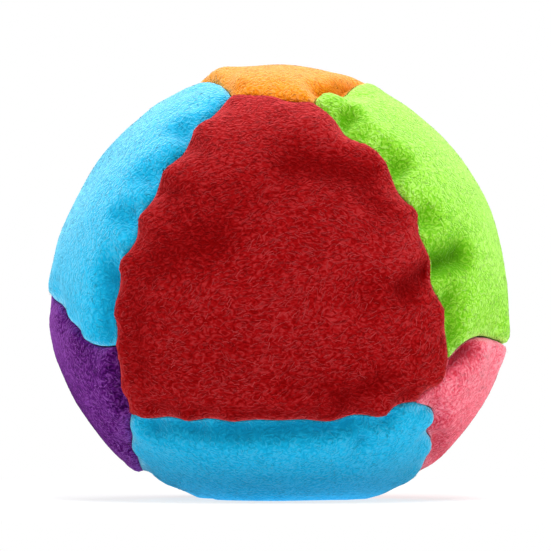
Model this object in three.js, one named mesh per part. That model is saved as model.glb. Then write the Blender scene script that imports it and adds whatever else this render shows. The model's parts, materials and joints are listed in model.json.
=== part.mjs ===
// A sewn footbag: eight suede panels, four six-sided and four three-sided, laid out as a deeply
// truncated tetrahedron. Each panel's edge is turned in, the turned-in edges are whipstitched
// together in pairs, and loose pellets fill the ball that the panels make.
// Millimetres, +Z up. The origin is in the middle of the flat that the bag rests on, and the red
// panel faces -Y.
import * as THREE from "three";

// The ball
const BAG_WIDTH = 55; // across the widest line, in X and in Y
const CROWN_HEIGHT = 29.5; // from the widest line up to the top
const BELLY_DEPTH = 24; // from the widest line down to the round bottom, before it is pressed flat
const REST_FLAT = 1.6; // how far the bottom is pressed in where the bag rests

// The panels
const SHORT_SEAM = 9.1; // between two six-sided panels, over the ball at the widest line
const SUEDE = 0.9; // thickness of the cloth
const SEAM_ALLOWANCE = 3; // depth of the turned-in edges, from the ball's surface
const SEAM_GAP = 0.3; // between the two turned-in edges of a seam
const SEAM_DIP = 0.7; // how far a folded edge lies below the crown of its panel
const SHOULDER = 2.4; // width of the rounded stretch beside a seam
const CORNER_TRIM = 0.8; // how far each seam stops short of the point where three panels meet
const PUCKER = 0.35; // how far the seam wanders to either side from one stitch to the next

// The stitching
const STITCH_PITCH = 6; // from one stitch to the next, about
const THREAD = 0.5; // diameter of the thread
const THREAD_SIDES = 5;
const KNOT = 0.9; // diameter of the knot at each end of a thread
const THREAD_CLEARANCE = 0.25; // round the thread, in its holes and over the turned-in edges

// The fill
const FILL_GAP = 0.3; // between the pellets and the cloth or thread round them

// How the ball is turned, in degrees: the front panel leans back, and turns a little aside
const FRONT_LEAN = 7;
const FRONT_TURN = 1.4;

// Sizes that follow from those above
const HALF_WIDTH = BAG_WIDTH / 2;
const WIDEST_Z = BELLY_DEPTH - REST_FLAT;
const HOLE_REACH = THREAD / 2 + THREAD_CLEARANCE; // from a hole's middle to its rim
const HOLE_DEPTH = (SEAM_DIP + SEAM_ALLOWANCE) / 2; // half-way down a turned-in edge
const HOLE_TOP = HOLE_DEPTH - HOLE_REACH;
const HOLE_FOOT = HOLE_DEPTH + HOLE_REACH;
const EDGE_INSET = SEAM_GAP / 2; // from the seam's line to the outer face of a turned-in edge
const CROWN_INSET = EDGE_INSET + SHOULDER; // from the seam's line to the crown of the panel
const BACK_INSET = EDGE_INSET + SUEDE; // from the seam's line to the inner face of that edge
const THREAD_INSET = BACK_INSET + HOLE_REACH; // from the seam's line to the thread beside the edge
const THREAD_DEPTH = SEAM_ALLOWANCE + HOLE_REACH; // of the thread where it passes under the edges
const GROOVE_INSET = THREAD_INSET + THREAD / 2 + FILL_GAP; // half the width of the fill's grooves
const KNOT_DEPTH = SEAM_ALLOWANCE + THREAD_CLEARANCE + KNOT / 2; // of a knot's middle
const GROOVE_DEPTH = KNOT_DEPTH + KNOT / 2 + FILL_GAP; // of their floors, below the surface
const LINING_INSET = GROOVE_INSET + SHOULDER; // from the seam's line to where the cloth lies on the fill

// Rings of points on a panel, as shares of the way from its rounded edge to its middle
const CROWN_RINGS = [0.72, 0.46, 0.22];
const LINING_RING = 0.4;

// Colours and surfaces
const suede = (color) => new THREE.MeshStandardMaterial({ color, roughness: 0.95, metalness: 0 });
const RED = suede(0x9c1216);
const ORANGE = suede(0xf29a3c);
const PINK = suede(0xe2586e);
const PURPLE = suede(0x652a86);
const BLUE = suede(0x2fa9dc);
const GREEN = suede(0x86d936);
const THREAD_GREY = new THREE.MeshStandardMaterial({ color: 0x3a3a40, roughness: 0.7, metalness: 0 });
const PELLET_WHITE = new THREE.MeshStandardMaterial({ color: 0xe6e2d8, roughness: 0.6, metalness: 0 });

// The three-sided panels lie on the corners of a tetrahedron, and the six-sided panel with the
// same number lies opposite: red is opposite the back corner, and so on.
const CORNERS = [
  { name: "green_back_panel", material: GREEN, up: [0, 1, 0] },
  { name: "blue_base_panel", material: BLUE, up: [0, -1 / 3, -Math.sqrt(8) / 3] },
  { name: "blue_left_panel", material: BLUE, up: [-Math.sqrt(2 / 3), -1 / 3, Math.SQRT2 / 3] },
  { name: "green_right_panel", material: GREEN, up: [Math.sqrt(2 / 3), -1 / 3, Math.SQRT2 / 3] },
];
const FACES = [
  { name: "red_front_panel", material: RED },
  { name: "orange_top_panel", material: ORANGE },
  { name: "pink_right_panel", material: PINK },
  { name: "purple_left_panel", material: PURPLE },
];

// Where hand sewing drew a junction of three panels off its even place, in X and Z at the front.
// A junction is named by the corner it is near and the corner it looks towards.
const DRIFT = {
  "2-3": [-0.8, 0.5],
  "3-2": [0, -0.6],
  "3-1": [-0.7, -0.5],
  "1-3": [-0.1, 0.5],
  "1-2": [-0.7, -1.1],
  "2-1": [2.3, 0.5],
};

// How far a seam bows to one side of the straight line between its ends, by the names of its panels
const BOW = { "blue_base_panel red_front_panel": 1.9 };

const turn = new THREE.Quaternion().setFromEuler(
  new THREE.Euler(
    THREE.MathUtils.degToRad(-FRONT_LEAN),
    0,
    THREE.MathUtils.degToRad(-FRONT_TURN),
    "ZYX",
  ),
);

// The direction that lies a share of the way from one direction to another, round the ball.
function between(from, to, share) {
  const angle = from.angleTo(to);
  const a = Math.sin((1 - share) * angle) / Math.sin(angle);
  const b = Math.sin(share * angle) / Math.sin(angle);
  return from.clone().multiplyScalar(a).addScaledVector(to, b).normalize();
}

// The point on the ball in a direction from its middle, or below its surface by some depth. The
// ball is an egg, wider below, that is cut flat by the plane it rests on.
function ballPoint(direction, depth) {
  const height = direction.z > 0 ? CROWN_HEIGHT : BELLY_DEPTH;
  const out = new THREE.Vector3(direction.x * HALF_WIDTH, direction.y * HALF_WIDTH, direction.z * height);
  const full = out.length();
  const fall = -out.z / full;
  let reach = full - depth;
  if (fall > 0) reach = Math.min(reach, (WIDEST_Z - depth) / fall);
  out.multiplyScalar(reach / full);
  out.z += WIDEST_Z;
  return out;
}

// A closed skin of triangles, built up from points and the faces between them.
class Skin {
  points = [];
  faces = [];

  point(place) {
    this.points.push(place.x, place.y, place.z);
    return this.points.length / 3 - 1;
  }

  triangle(a, b, c) {
    this.faces.push(a, b, c);
  }

  quad(a, b, c, d) {
    this.triangle(a, b, c);
    this.triangle(a, c, d);
  }

  geometry() {
    const made = new THREE.BufferGeometry();
    made.setAttribute("position", new THREE.Float32BufferAttribute(this.points, 3));
    made.setIndex(this.faces);
    made.computeVertexNormals();
    return made;
  }
}

// Layout: the middle of every panel, and the twelve junctions where three panels meet

CORNERS.forEach((corner, i) => {
  corner.middle = new THREE.Vector3(...corner.up).applyQuaternion(turn);
  FACES[i].middle = corner.middle.clone().negate();
});
const CORNER_ANGLE = Math.acos(-1 / 3); // between two corners of a tetrahedron
const JUNCTION_SHARE = (1 - SHORT_SEAM / HALF_WIDTH / CORNER_ANGLE) / 2;

function junction(near, towards) {
  const place = between(CORNERS[near].middle, CORNERS[towards].middle, JUNCTION_SHARE);
  const [x, z] = DRIFT[`${near}-${towards}`] ?? [0, 0];
  return place.add(new THREE.Vector3(x / HALF_WIDTH, 0, z / HALF_WIDTH)).normalize();
}

const OTHERS = [0, 1, 2, 3].map((i) => [0, 1, 2, 3].filter((j) => j !== i));
const JUNCTIONS = OTHERS.map((others, i) => {
  const found = [];
  for (const j of others) found[j] = junction(i, j);
  return found;
});

// A seam between two panels: its line over the ball, the places along it where the cloth has a
// column of points, and the middles of its needle holes. Lengths are along the seam.
function seam(from, to, first, second) {
  const length = from.angleTo(to) * HALF_WIDTH;
  const sewn = length - 2 * CORNER_TRIM;
  const stitches = Math.max(1, Math.round(sewn / STITCH_PITCH));
  const pitch = sewn / stitches;
  const aside = from.clone().cross(to).normalize();
  const bow = BOW[`${first.name} ${second.name}`] ?? 0;
  const toSecond = Math.sign(aside.dot(second.middle));

  function at(along) {
    const share = along / length;
    const stitch = (along - CORNER_TRIM) / pitch - 0.5;
    const ends = Math.sin(Math.PI * share);
    const shift = bow * toSecond * ends + PUCKER * Math.cos(Math.PI * stitch) * Math.sqrt(ends);
    return between(from, to, share).addScaledVector(aside, shift / HALF_WIDTH).normalize();
  }

  const holes = Array.from({ length: stitches }, (_, k) => CORNER_TRIM + (k + 0.5) * pitch);
  const stations = [CORNER_TRIM];
  for (const hole of holes) stations.push(hole - HOLE_REACH, hole + HOLE_REACH);
  stations.push(length - CORNER_TRIM);
  return { from, to, first, second, pitch, holes, at, line: stations.map(at) };
}

// Long seams join a three-sided panel to a six-sided one, and short seams two six-sided ones.
const SEAMS = [];
for (let corner = 0; corner < CORNERS.length; corner++) {
  for (const face of OTHERS[corner]) {
    const [j, k] = OTHERS[corner].filter((other) => other !== face);
    SEAMS.push(seam(JUNCTIONS[corner][j], JUNCTIONS[corner][k], CORNERS[corner], FACES[face]));
  }
}
for (let a = 0; a < CORNERS.length; a++) {
  for (let b = a + 1; b < CORNERS.length; b++) {
    const [first, second] = OTHERS[a].filter((other) => other !== b);
    SEAMS.push(seam(JUNCTIONS[a][b], JUNCTIONS[b][a], FACES[first], FACES[second]));
  }
}

// The columns of points round a panel's outline, counter-clockwise from outside. A column holds
// its direction and whether a needle hole lies between it and the next.
function outline(panel) {
  const left = SEAMS.filter((one) => one.first === panel || one.second === panel);
  const columns = [];
  let start = left[0].from;
  while (left.length) {
    const next = left.findIndex((one) => one.from === start || one.to === start);
    const [one] = left.splice(next, 1);
    const line = one.from === start ? one.line : [...one.line].reverse();
    start = one.from === start ? one.to : one.from;
    line.forEach((direction, i) => columns.push({ direction, hole: i % 2 === 1 && i < line.length - 1 }));
  }
  const across = columns[0].direction.clone().cross(columns[1].direction);
  if (across.dot(panel.middle) > 0) return columns;
  const holes = columns.map((column) => column.hole);
  return columns
    .map(({ direction }, i) => ({ direction, hole: holes.at(i - 1) }))
    .reverse();
}

for (const panel of [...CORNERS, ...FACES]) {
  panel.columns = outline(panel);
  const nearest = Math.min(...panel.columns.map(({ direction }) => direction.angleTo(panel.middle)));
  panel.reach = nearest * HALF_WIDTH; // from its middle to its nearest edge
}

// The inset that lies a share of the way from another inset to the panel's middle.
const inward = (panel, inset, share) => inset + (panel.reach - inset) * share;

// The point at some inset from a panel's edge towards its middle, and some depth below the ball.
function inPanel(panel, direction, inset, depth) {
  return ballPoint(between(direction, panel.middle, inset / panel.reach), depth);
}

// Rows of points that follow a panel's outline, joined in order, each row an inset and a depth.
function addRows(skin, panel, rows) {
  const rings = rows.map(([inset, depth]) =>
    panel.columns.map(({ direction }) => skin.point(inPanel(panel, direction, inset, depth))),
  );
  const next = (i) => (i + 1) % panel.columns.length;
  return { rings, next };
}

// One panel: a crowned shell whose edge folds in between its neighbours, with the needle holes
function panelGeometry(panel) {
  const skin = new Skin();
  const rows = [
    ...CROWN_RINGS.map((share) => [inward(panel, CROWN_INSET, share), 0]),
    [CROWN_INSET, 0],
    [EDGE_INSET, SEAM_DIP],
    [EDGE_INSET, HOLE_TOP],
    [EDGE_INSET, HOLE_FOOT],
    [EDGE_INSET, SEAM_ALLOWANCE],
    [BACK_INSET, SEAM_ALLOWANCE],
    [BACK_INSET, HOLE_FOOT],
    [BACK_INSET, HOLE_TOP],
    [LINING_INSET, SUEDE],
    [inward(panel, LINING_INSET, LINING_RING), SUEDE],
  ];
  const frontTop = rows.findIndex(([inset, depth]) => inset === EDGE_INSET && depth === HOLE_TOP);
  const [frontFoot, backFoot, backTop] = [1, 4, 5].map((step) => frontTop + step);
  const { rings, next } = addRows(skin, panel, rows);
  const crown = skin.point(ballPoint(panel.middle, 0));
  const lining = skin.point(ballPoint(panel.middle, SUEDE));
  panel.columns.forEach(({ hole }, i) => {
    const j = next(i);
    skin.triangle(crown, rings[0][i], rings[0][j]);
    for (let r = 0; r + 1 < rings.length; r++) {
      if (hole && (r === frontTop || r === backFoot)) continue;
      skin.quad(rings[r][i], rings[r + 1][i], rings[r + 1][j], rings[r][j]);
    }
    skin.triangle(lining, rings.at(-1)[j], rings.at(-1)[i]);
    if (!hole) return;
    const front = [rings[frontTop][i], rings[frontFoot][i], rings[frontFoot][j], rings[frontTop][j]];
    const back = [rings[backTop][i], rings[backFoot][i], rings[backFoot][j], rings[backTop][j]];
    front.forEach((corner, k) => {
      const other = (k + 1) % front.length;
      skin.quad(corner, front[other], back[other], back[k]);
    });
  });
  return skin.geometry();
}

// A round thread along a route of points and radii, with its rings mitred at the bends
function threadGeometry(stops) {
  const skin = new Skin();
  const route = stops.map(({ point }) => point);
  const legs = route.slice(1).map((point, i) => point.clone().sub(route[i]).normalize());
  let side = new THREE.Vector3(0, 0, 1).cross(legs[0]).normalize();
  const rings = route.map((point, i) => {
    const before = legs[Math.max(i - 1, 0)];
    const after = legs[Math.min(i, legs.length - 1)];
    const along = before.clone().add(after).normalize();
    const bend = after.clone().sub(before);
    const stretch = Math.min(1 / along.dot(after), Math.SQRT2) - 1;
    bend.normalize();
    side.addScaledVector(along, -side.dot(along)).normalize();
    const up = along.clone().cross(side);
    return Array.from({ length: THREAD_SIDES }, (_, k) => {
      const angle = (2 * Math.PI * k) / THREAD_SIDES;
      const out = side.clone().multiplyScalar(Math.cos(angle)).addScaledVector(up, Math.sin(angle));
      out.addScaledVector(bend, out.dot(bend) * stretch).multiplyScalar(stops[i].radius);
      return skin.point(point.clone().add(out));
    });
  });
  for (let i = 0; i + 1 < rings.length; i++) {
    for (let k = 0; k < THREAD_SIDES; k++) {
      const l = (k + 1) % THREAD_SIDES;
      skin.quad(rings[i][k], rings[i][l], rings[i + 1][l], rings[i + 1][k]);
    }
  }
  const end = rings.at(-1);
  for (let k = 1; k + 1 < THREAD_SIDES; k++) {
    skin.triangle(rings[0][0], rings[0][k + 1], rings[0][k]);
    skin.triangle(end[0], end[k], end[k + 1]);
  }
  return skin.geometry();
}

// Whipstitches: through both turned-in edges at a hole, back under them, and on to the next hole,
// from a knot under one end of the seam to a knot under the other
function threadRoute({ first, second, pitch, holes, at }) {
  const radius = THREAD / 2;
  const beside = (panel, along, depth) => ({
    point: inPanel(panel, at(along), THREAD_INSET, depth),
    radius,
  });
  const onLine = (along, depth, thick) => ({ point: ballPoint(at(along), depth), radius: thick });
  const knot = (along, away) => [
    onLine(along + away * KNOT * 0.5, KNOT_DEPTH, radius),
    onLine(along, KNOT_DEPTH, KNOT / 2),
  ];
  const lead = pitch / 4;
  const route = knot(holes[0] - 2 * lead, -1);
  for (const hole of holes) {
    route.push(
      beside(first, hole - lead, THREAD_DEPTH),
      beside(first, hole, HOLE_DEPTH),
      onLine(hole, HOLE_DEPTH, radius),
      beside(second, hole, HOLE_DEPTH),
      beside(second, hole + lead, THREAD_DEPTH),
    );
  }
  return route.concat(knot(holes.at(-1) + 2 * lead, 1).reverse());
}

// The pellets as one solid: it fills the ball up to the cloth, with a groove along every seam
function fillGeometry() {
  const skin = new Skin();
  const shared = new Map();
  const groove = (direction) => {
    if (!shared.has(direction)) shared.set(direction, skin.point(ballPoint(direction, GROOVE_DEPTH)));
    return shared.get(direction);
  };
  for (const panel of [...CORNERS, ...FACES]) {
    const under = SUEDE + FILL_GAP;
    const { rings, next } = addRows(skin, panel, [
      [inward(panel, LINING_INSET, LINING_RING), under],
      [LINING_INSET, under],
      [GROOVE_INSET, GROOVE_DEPTH],
    ]);
    const crown = skin.point(ballPoint(panel.middle, under));
    panel.columns.forEach(({ direction }, i) => {
      const j = next(i);
      const [here, there] = [groove(direction), groove(panel.columns[j].direction)];
      skin.triangle(crown, rings[0][i], rings[0][j]);
      for (let r = 0; r + 1 < rings.length; r++) {
        skin.quad(rings[r][i], rings[r + 1][i], rings[r + 1][j], rings[r][j]);
      }
      skin.quad(rings.at(-1)[i], here, there, rings.at(-1)[j]);
    });
  }
  closeJunctions(skin, groove);
  return skin.geometry();
}

// The small triangle between the ends of the three seams at each junction
function closeJunctions(skin, groove) {
  for (const place of JUNCTIONS.flat()) {
    const ends = SEAMS.filter(({ from, to }) => from === place || to === place).map(
      ({ from, line }) => (from === place ? line[0] : line.at(-1)),
    );
    const across = ends[1].clone().sub(ends[0]).cross(ends[2].clone().sub(ends[0]));
    const [a, b, c] = across.dot(place) > 0 ? ends : [ends[0], ends[2], ends[1]];
    skin.triangle(groove(a), groove(b), groove(c));
  }
}

const footbag = new THREE.Group();
footbag.name = "footbag";

function add(name, geometry, material) {
  const mesh = new THREE.Mesh(geometry, material);
  mesh.name = name;
  footbag.add(mesh);
}

for (const panel of [...FACES, ...CORNERS]) add(panel.name, panelGeometry(panel), panel.material);
for (const one of SEAMS) {
  const [first, second] = [one.first, one.second].map(({ name }) => name.replace("_panel", ""));
  add(`thread_${first}_to_${second}`, threadGeometry(threadRoute(one)), THREAD_GREY);
}
add("pellet_fill", fillGeometry(), PELLET_WHITE);

export default footbag;
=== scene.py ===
"""Dresses the footbag: eight napped suede panels over loose pellets, whipstitched along their seams."""

import itertools
import json
import math
import random

import bpy
import numpy as np
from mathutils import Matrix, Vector, geometry, noise

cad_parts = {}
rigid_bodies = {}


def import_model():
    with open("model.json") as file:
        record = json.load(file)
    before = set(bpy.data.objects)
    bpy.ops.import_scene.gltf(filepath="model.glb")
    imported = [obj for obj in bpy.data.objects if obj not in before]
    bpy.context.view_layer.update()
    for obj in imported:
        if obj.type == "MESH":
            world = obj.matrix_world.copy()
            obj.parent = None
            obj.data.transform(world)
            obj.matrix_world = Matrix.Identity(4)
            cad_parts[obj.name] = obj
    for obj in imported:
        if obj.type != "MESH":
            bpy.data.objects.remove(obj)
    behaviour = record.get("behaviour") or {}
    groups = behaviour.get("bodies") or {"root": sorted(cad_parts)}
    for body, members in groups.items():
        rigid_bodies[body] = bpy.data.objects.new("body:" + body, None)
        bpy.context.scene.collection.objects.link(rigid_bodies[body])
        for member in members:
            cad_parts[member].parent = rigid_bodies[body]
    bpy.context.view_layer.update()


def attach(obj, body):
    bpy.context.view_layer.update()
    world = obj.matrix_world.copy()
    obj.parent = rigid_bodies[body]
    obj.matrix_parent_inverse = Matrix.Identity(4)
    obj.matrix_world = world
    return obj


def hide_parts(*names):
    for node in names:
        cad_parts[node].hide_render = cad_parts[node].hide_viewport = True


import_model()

bl_info = {
    "name": "Footbag",
    "version": (1, 0, 0),
    "blender": (4, 5, 0),
    "location": "3D View > Sidebar > Footbag",
    "description": "Sews a suede footbag of eight panels and sets it on a pale stage",
    "category": "Object",
}

MM = 0.001
TINY = 1e-9  # keeps a length that something is divided by from being zero
WHITE = (1, 1, 1, 1)
BLACK = (0, 0, 0, 1)

PHOTO_PIXELS = 551  # width and height of the photograph
BAG_PIXELS = 459  # the bag's width in it
BAG_MIDDLE_PX = 279.3  # the bag's middle, from the left
BAG_FOOT_PX = 498.5  # the flat that it rests on, from the top

# The three-sided panels lie on the corners of a tetrahedron, and the six-sided panel with the same
# number lies opposite.
CORNER_UPS = (
    (0, 1, 0),
    (0, -1 / 3, -math.sqrt(8) / 3),
    (-math.sqrt(2 / 3), -1 / 3, math.sqrt(2) / 3),
    (math.sqrt(2 / 3), -1 / 3, math.sqrt(2) / 3),
)
CORNER_PANELS = ("green_back", "blue_base", "blue_left", "green_right")
FACE_PANELS = ("red_front", "orange_top", "pink_right", "purple_left")
PANELS = FACE_PANELS + CORNER_PANELS
FRONT_LEAN = math.radians(7)
FRONT_TURN = math.radians(1.4)

# Where the junctions that show at the front lie: millimetres right of the ball's middle and above
# its widest line. A junction is named by the corner it is near and the corner it looks towards.
FRONT_JUNCTIONS = {
    (2, 1): (-19.6, -4.1),
    (2, 3): (-5.7, 26.1),
    (3, 2): (4.3, 25.0),
    (3, 1): (20.4, -5.6),
    (1, 3): (16.4, -10.8),
    (1, 2): (-18.0, -12.3),
}

# How the seams that show wander: millimetres along the seam and, towards its second panel, aside.
SEAM_WANDER = {
    ("blue_left", "red_front"): (
        (2.5, 0.0), (5, -0.6), (8, -0.4), (10.5, -0.8), (13.5, 0.5), (16, -0.2), (18.8, 0.8),
        (21.6, 0.3), (25.2, 1.3), (28.5, 0.5), (32, 0.7),
    ),
    ("green_right", "red_front"): (
        (4, 0.2), (7.5, 0.0), (10.5, 0.9), (13.3, -0.2), (15.6, 0.2), (18.6, -0.9), (21.5, -0.1),
        (25.5, -1.0), (28, -0.6), (31, 0.9), (33.2, 0.3),
    ),
    ("blue_base", "red_front"): (
        (1, 0.3), (3.2, 0.6), (6, 1.9), (9, 2.0), (11.5, 2.9), (14.5, 2.7), (17.5, 3.1),
        (20.5, 2.8), (23.2, 2.6), (26.5, 1.5), (29.5, 1.7), (33.4, 0.1), (35.7, 0.8),
    ),
    ("blue_left", "orange_top"): (
        (6, 0.9), (9, 1.0), (12, 2.3), (15, 2.3), (18, 3.3), (21, 3.1), (24, 3.8), (27, 3.8),
        (31.4, 2.0),
    ),
    ("blue_left", "purple_left"): (
        (6, 0.8), (9, 0.3), (12, 1.4), (15.5, 1.2), (19, 2.3), (22.5, 1.6), (25.3, 1.0),
        (28.5, 1.5), (31.3, 1.5), (33.5, 2.0), (36.5, 1.4),
    ),
    ("green_right", "orange_top"): (
        (3, 0.0), (6, 1.3), (9, 0.9), (12, 2.6), (15, 2.3), (18, 4.0), (21, 3.6), (24.2, 4.2),
        (28.6, 2.5), (31.9, 0.9), (34.2, 1.6), (35.8, 1.1),
    ),
    ("green_right", "pink_right"): (
        (3, 0.5), (6, 2.4), (9, 2.7), (12, 4.8), (15, 5.2), (18, 7.4), (20.2, 8.1), (23.3, 5.8),
        (26.2, 3.3), (28.8, 1.3), (30.5, 0.3), (32.3, -0.4), (35, -0.6),
    ),
    ("blue_base", "pink_right"): (
        (2.5, 0.4), (5, 2.2), (7.5, 2.4), (10, 4.3), (12.5, 4.6), (15, 5.6), (20, 6.8),
        (24.5, 6.6), (28.4, 5.5), (30.8, 3.7), (33, 4.0), (35.3, 2.8),
    ),
    ("blue_base", "purple_left"): (
        (2.5, 0.7), (5, 2.8), (7.5, 3.1), (10, 5.0), (12.5, 5.1), (15, 6.5), (18.2, 6.6),
        (20.2, 5.4), (23, 3.8), (25.3, 3.1), (27.7, 2.9), (30, 1.7), (32.5, 1.0),
    ),
    ("red_front", "orange_top"): ((2.5, -0.1), (5, -0.1), (7.5, -0.4)),
    ("red_front", "pink_right"): ((1.6, 0.0), (3.7, 1.0), (5.6, 0.8)),
    ("red_front", "purple_left"): ((2.2, -0.3), (4.5, 0.1), (7, -0.2)),
}

EDGE_HIGHLIGHT_REACH = 1.1 * MM  # how far from a seam the painted highlight of a folded edge reaches

# How far the lightest nap of each colour goes from its own tone to its rim's.
NAP_CONTRAST = {"red": 0.25, "orange": 0.25, "pink": 0.5, "purple": 0.45, "blue": 0.12, "green": 0.45}

# Heights in millimetres between which each colour goes from no painted highlight to the full one, as if
# lit from above: the rim's colour painted where the nap is seen edge on.
TOP_HIGHLIGHT_HEIGHTS = {
    "red": (18, 46), "orange": (18, 46), "pink": (6, 21),
    "purple": (12, 28), "blue": (14, 46), "green": (18, 46),
}

# Where the fill pushes a seam out level with its panels: millimetres right of the ball's middle and
# above its widest line, and the half width.
FULL_SEAMS = (
    ((-16.6, -18.8), 4.5),
    ((16.0, -19.1), 4.5),
    ((10.5, 26.9), 3.5),
    ((-27.2, 2.5), 4.0),
    ((26.8, -3.7), 3.0),
)

# Hollows and folds that show at the front: the panel, both ends in millimetres right of the ball's
# middle and above its widest line, the depth (a ridge is negative), and the half width.
# Besides shaping the cloth, a depth paints shade into its colour in a hollow, and light on a ridge.
FOLDS = (
    ("red_front", (17.8, 5.2), (14.8, 2.4), 1.1, 1.6),
    ("red_front", (16.4, 8.4), (12.0, 5.6), -0.5, 1.8),
    ("red_front", (9.6, 16.0), (1.8, 17.6), 0.9, 2.8),
    ("red_front", (12.4, 12.0), (11.4, 12.6), 0.5, 1.8),
    ("red_front", (8.5, 20.4), (3.9, 22.4), -0.5, 2.0),
    ("red_front", (12.2, -7.6), (7.8, -10.0), 0.8, 1.6),
    ("red_front", (15.4, -9.6), (14.4, -10.4), 0.6, 1.3),
    ("red_front", (-14.6, 6.2), (-7.6, 8.6), 0.8, 3.0),
    ("red_front", (-17.0, 0.5), (-16.4, -6.5), 0.45, 2.2),
    ("red_front", (-15.5, -11.2), (-8.5, -11.8), 0.5, 1.4),
    ("red_front", (-5.5, -11.9), (0.5, -12.0), 0.5, 1.4),
    ("red_front", (3.5, -11.9), (8.5, -11.6), 0.5, 1.4),
    ("red_front", (6.5, -8.6), (2.5, -8.4), 0.4, 2.2),
    ("red_front", (13.0, 3.2), (10.0, 2.4), 0.35, 2.4),
    ("red_front", (-10.5, 13.0), (-3.5, 13.6), 0.35, 3.5),
    ("red_front", (-10.2, 19.8), (-8.6, 18.6), 0.4, 1.2),
    ("red_front", (-13.8, 14.9), (-12.2, 13.9), 0.5, 1.4),
    ("green_right", (18.2, 5.5), (21.6, 6.8), 2.1, 1.7),
    ("green_right", (19.4, 9.4), (21.4, 10.0), 0.25, 2.4),
    ("green_right", (6.9, 22.2), (8.4, 23.6), 1.2, 1.5),
    ("green_right", (9.4, 21.2), (10.2, 21.8), 0.5, 1.0),
    ("green_right", (12.4, 19.5), (12.8, 19.9), 0.5, 0.9),
    ("green_right", (13.5, 16.8), (14.5, 17.9), 1.2, 1.5),
    ("green_right", (16.7, 10.8), (17.8, 11.5), 0.9, 1.4),
    ("green_right", (20.8, 1.4), (21.2, -3.2), 1.1, 1.8),
    ("blue_left", (-10.9, 20.5), (-12.1, 21.7), 0.7, 1.5),
    ("blue_left", (-14.5, 15.3), (-16.2, 16.3), 0.5, 1.5),
    ("blue_left", (-17.3, 10.3), (-19.1, 11.5), 0.65, 1.5),
    ("blue_left", (-19.4, 4.8), (-20.9, 4.3), 0.8, 1.6),
    ("blue_left", (-20.4, 3.4), (-20.6, -2.6), 0.9, 1.5),
    ("blue_left", (-20.4, 19.4), (-21.4, 17.8), 0.4, 5.0),
    ("blue_base", (-15.2, -13.8), (-9.5, -14.0), 1.1, 1.8),
    ("blue_base", (-6.5, -13.9), (-0.5, -13.9), 1.25, 1.8),
    ("blue_base", (2.5, -13.8), (6.0, -13.6), 1.35, 1.8),
    ("blue_base", (9.0, -13.2), (13.0, -12.4), 0.8, 1.4),
    ("blue_base", (8.4, -13.8), (10.0, -15.4), 0.7, 1.1),
    ("blue_base", (-14.6, -20.2), (-10.4, -22.0), 0.75, 3.0),
    ("blue_base", (14.8, -20.0), (13.0, -21.0), -0.4, 2.4),
    ("purple_left", (-19.6, -5.4), (-18.6, -11.6), 0.8, 1.2),
    ("purple_left", (-18.6, -16.8), (-17.0, -18.7), -0.4, 2.0),
    ("purple_left", (-25.2, -9.4), (-22.8, -13.2), 0.6, 4.0),
    ("pink_right", (20.7, -5.9), (22.8, -4.2), 2.2, 1.5),
    ("pink_right", (18.2, -10.8), (18.9, -17.0), 0.6, 1.2),
    ("pink_right", (26.2, -4.8), (25.6, -6.6), -0.5, 1.8),
    ("pink_right", (17.0, -15.4), (20.2, -15.0), 0.35, 2.4),
    ("orange_top", (-7.4, 28.3), (-10.8, 27.0), -0.9, 2.4),
    ("orange_top", (-6.9, 27.6), (-5.2, 27.0), 0.6, 1.1),
    ("orange_top", (6.0, 26.8), (10.0, 27.2), 1.4, 1.9),
)

# The same for the back, with places still measured to the right as seen from the front.
BACK_FOLDS = (
    ("green_back", (5.5, 8.8), (3.5, 4.0), 0.8, 1.9),
    ("green_back", (-11.5, 4.0), (-7.5, 2.2), 0.7, 1.8),
    ("green_back", (4.0, -8.5), (1.5, -5.5), 0.6, 1.6),
    ("orange_top", (-9.5, 13.5), (-7.0, 18.5), 0.7, 2.2),
    ("orange_top", (8.0, 13.0), (10.5, 17.0), 0.6, 2.0),
    ("orange_top", (1.0, 13.2), (0.0, 15.8), 0.5, 1.6),
    ("pink_right", (15.5, 2.0), (19.5, 5.0), 0.7, 2.0),
    ("pink_right", (9.0, -8.5), (13.5, -11.0), 0.7, 2.2),
    ("purple_left", (-15.5, -2.0), (-19.5, 1.5), 0.7, 2.0),
    ("purple_left", (-8.5, -9.5), (-12.5, -13.0), 0.7, 2.2),
)

# From this share of the half width behind the ball's middle, the photograph shows no seam.
BEHIND = 0.15

# How a seam that it doesn't show wanders, in millimetres: the ranges of the first turn's place, of the
# steps to the next ones and of how far they lie aside, and the run at the end that has no turn.
WANDER_SEED = 5
WANDER_START = (2, 3.4)
WANDER_STEP = (2, 3.8)
WANDER_ASIDE = (0.1, 0.7)
WANDER_END = 4.6

# The small hollows beside such seams, in millimetres: the ranges of the first one's place, of the steps
# to the next ones, of their reach into the panel, their slant for each millimetre of it, their depth
# and their half width, and how far from the seam they start.
GATHER_SEED = 11
GATHER_PLACE = (1.5, 5)
GATHER_STEP = (3, 6.5)
GATHER_REACH = (1, 4)
GATHER_SLANT = (-0.6, 0.6)
GATHER_DEPTH = (0.2, 1.0)
GATHER_WIDTH = (1.1, 1.8)
GATHER_START = 0.8

JUNCTION_SINK = 0.36  # share of the seam dip by which the front junctions lie below the egg
FULL_SHARE = 0.85  # share of the seam dip that is gone at the middle of a full seam
PUCKER_RUN = 4 * MM  # to either side, the run of a seam whose mean line its puckers stand off
PUCKER_ENDS = 2 * MM  # the run at each end of a seam over which its puckers die out
FULL_PUCKER = 0.45  # millimetres off the mean line at which the cloth swells fully
RIM_BLEND = 0.4 * MM  # how far from the rim the swells of its points start to blend
EDGE_LEVELS = (0.35 * MM, 0.9 * MM, 1.8 * MM)  # depths of a turned-in edge's rows, above its foot

NET_CLEARANCE = 0.6  # of the cloth step, from the rim to the net's inner points
NET_TOLERANCE = 1e-5  # of the cloth step, within which two points count as one
NET_INSIDE = 1  # asks for the triangles inside the outline
NET_PASSES = 8  # times that the inner points are evened out

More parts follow.
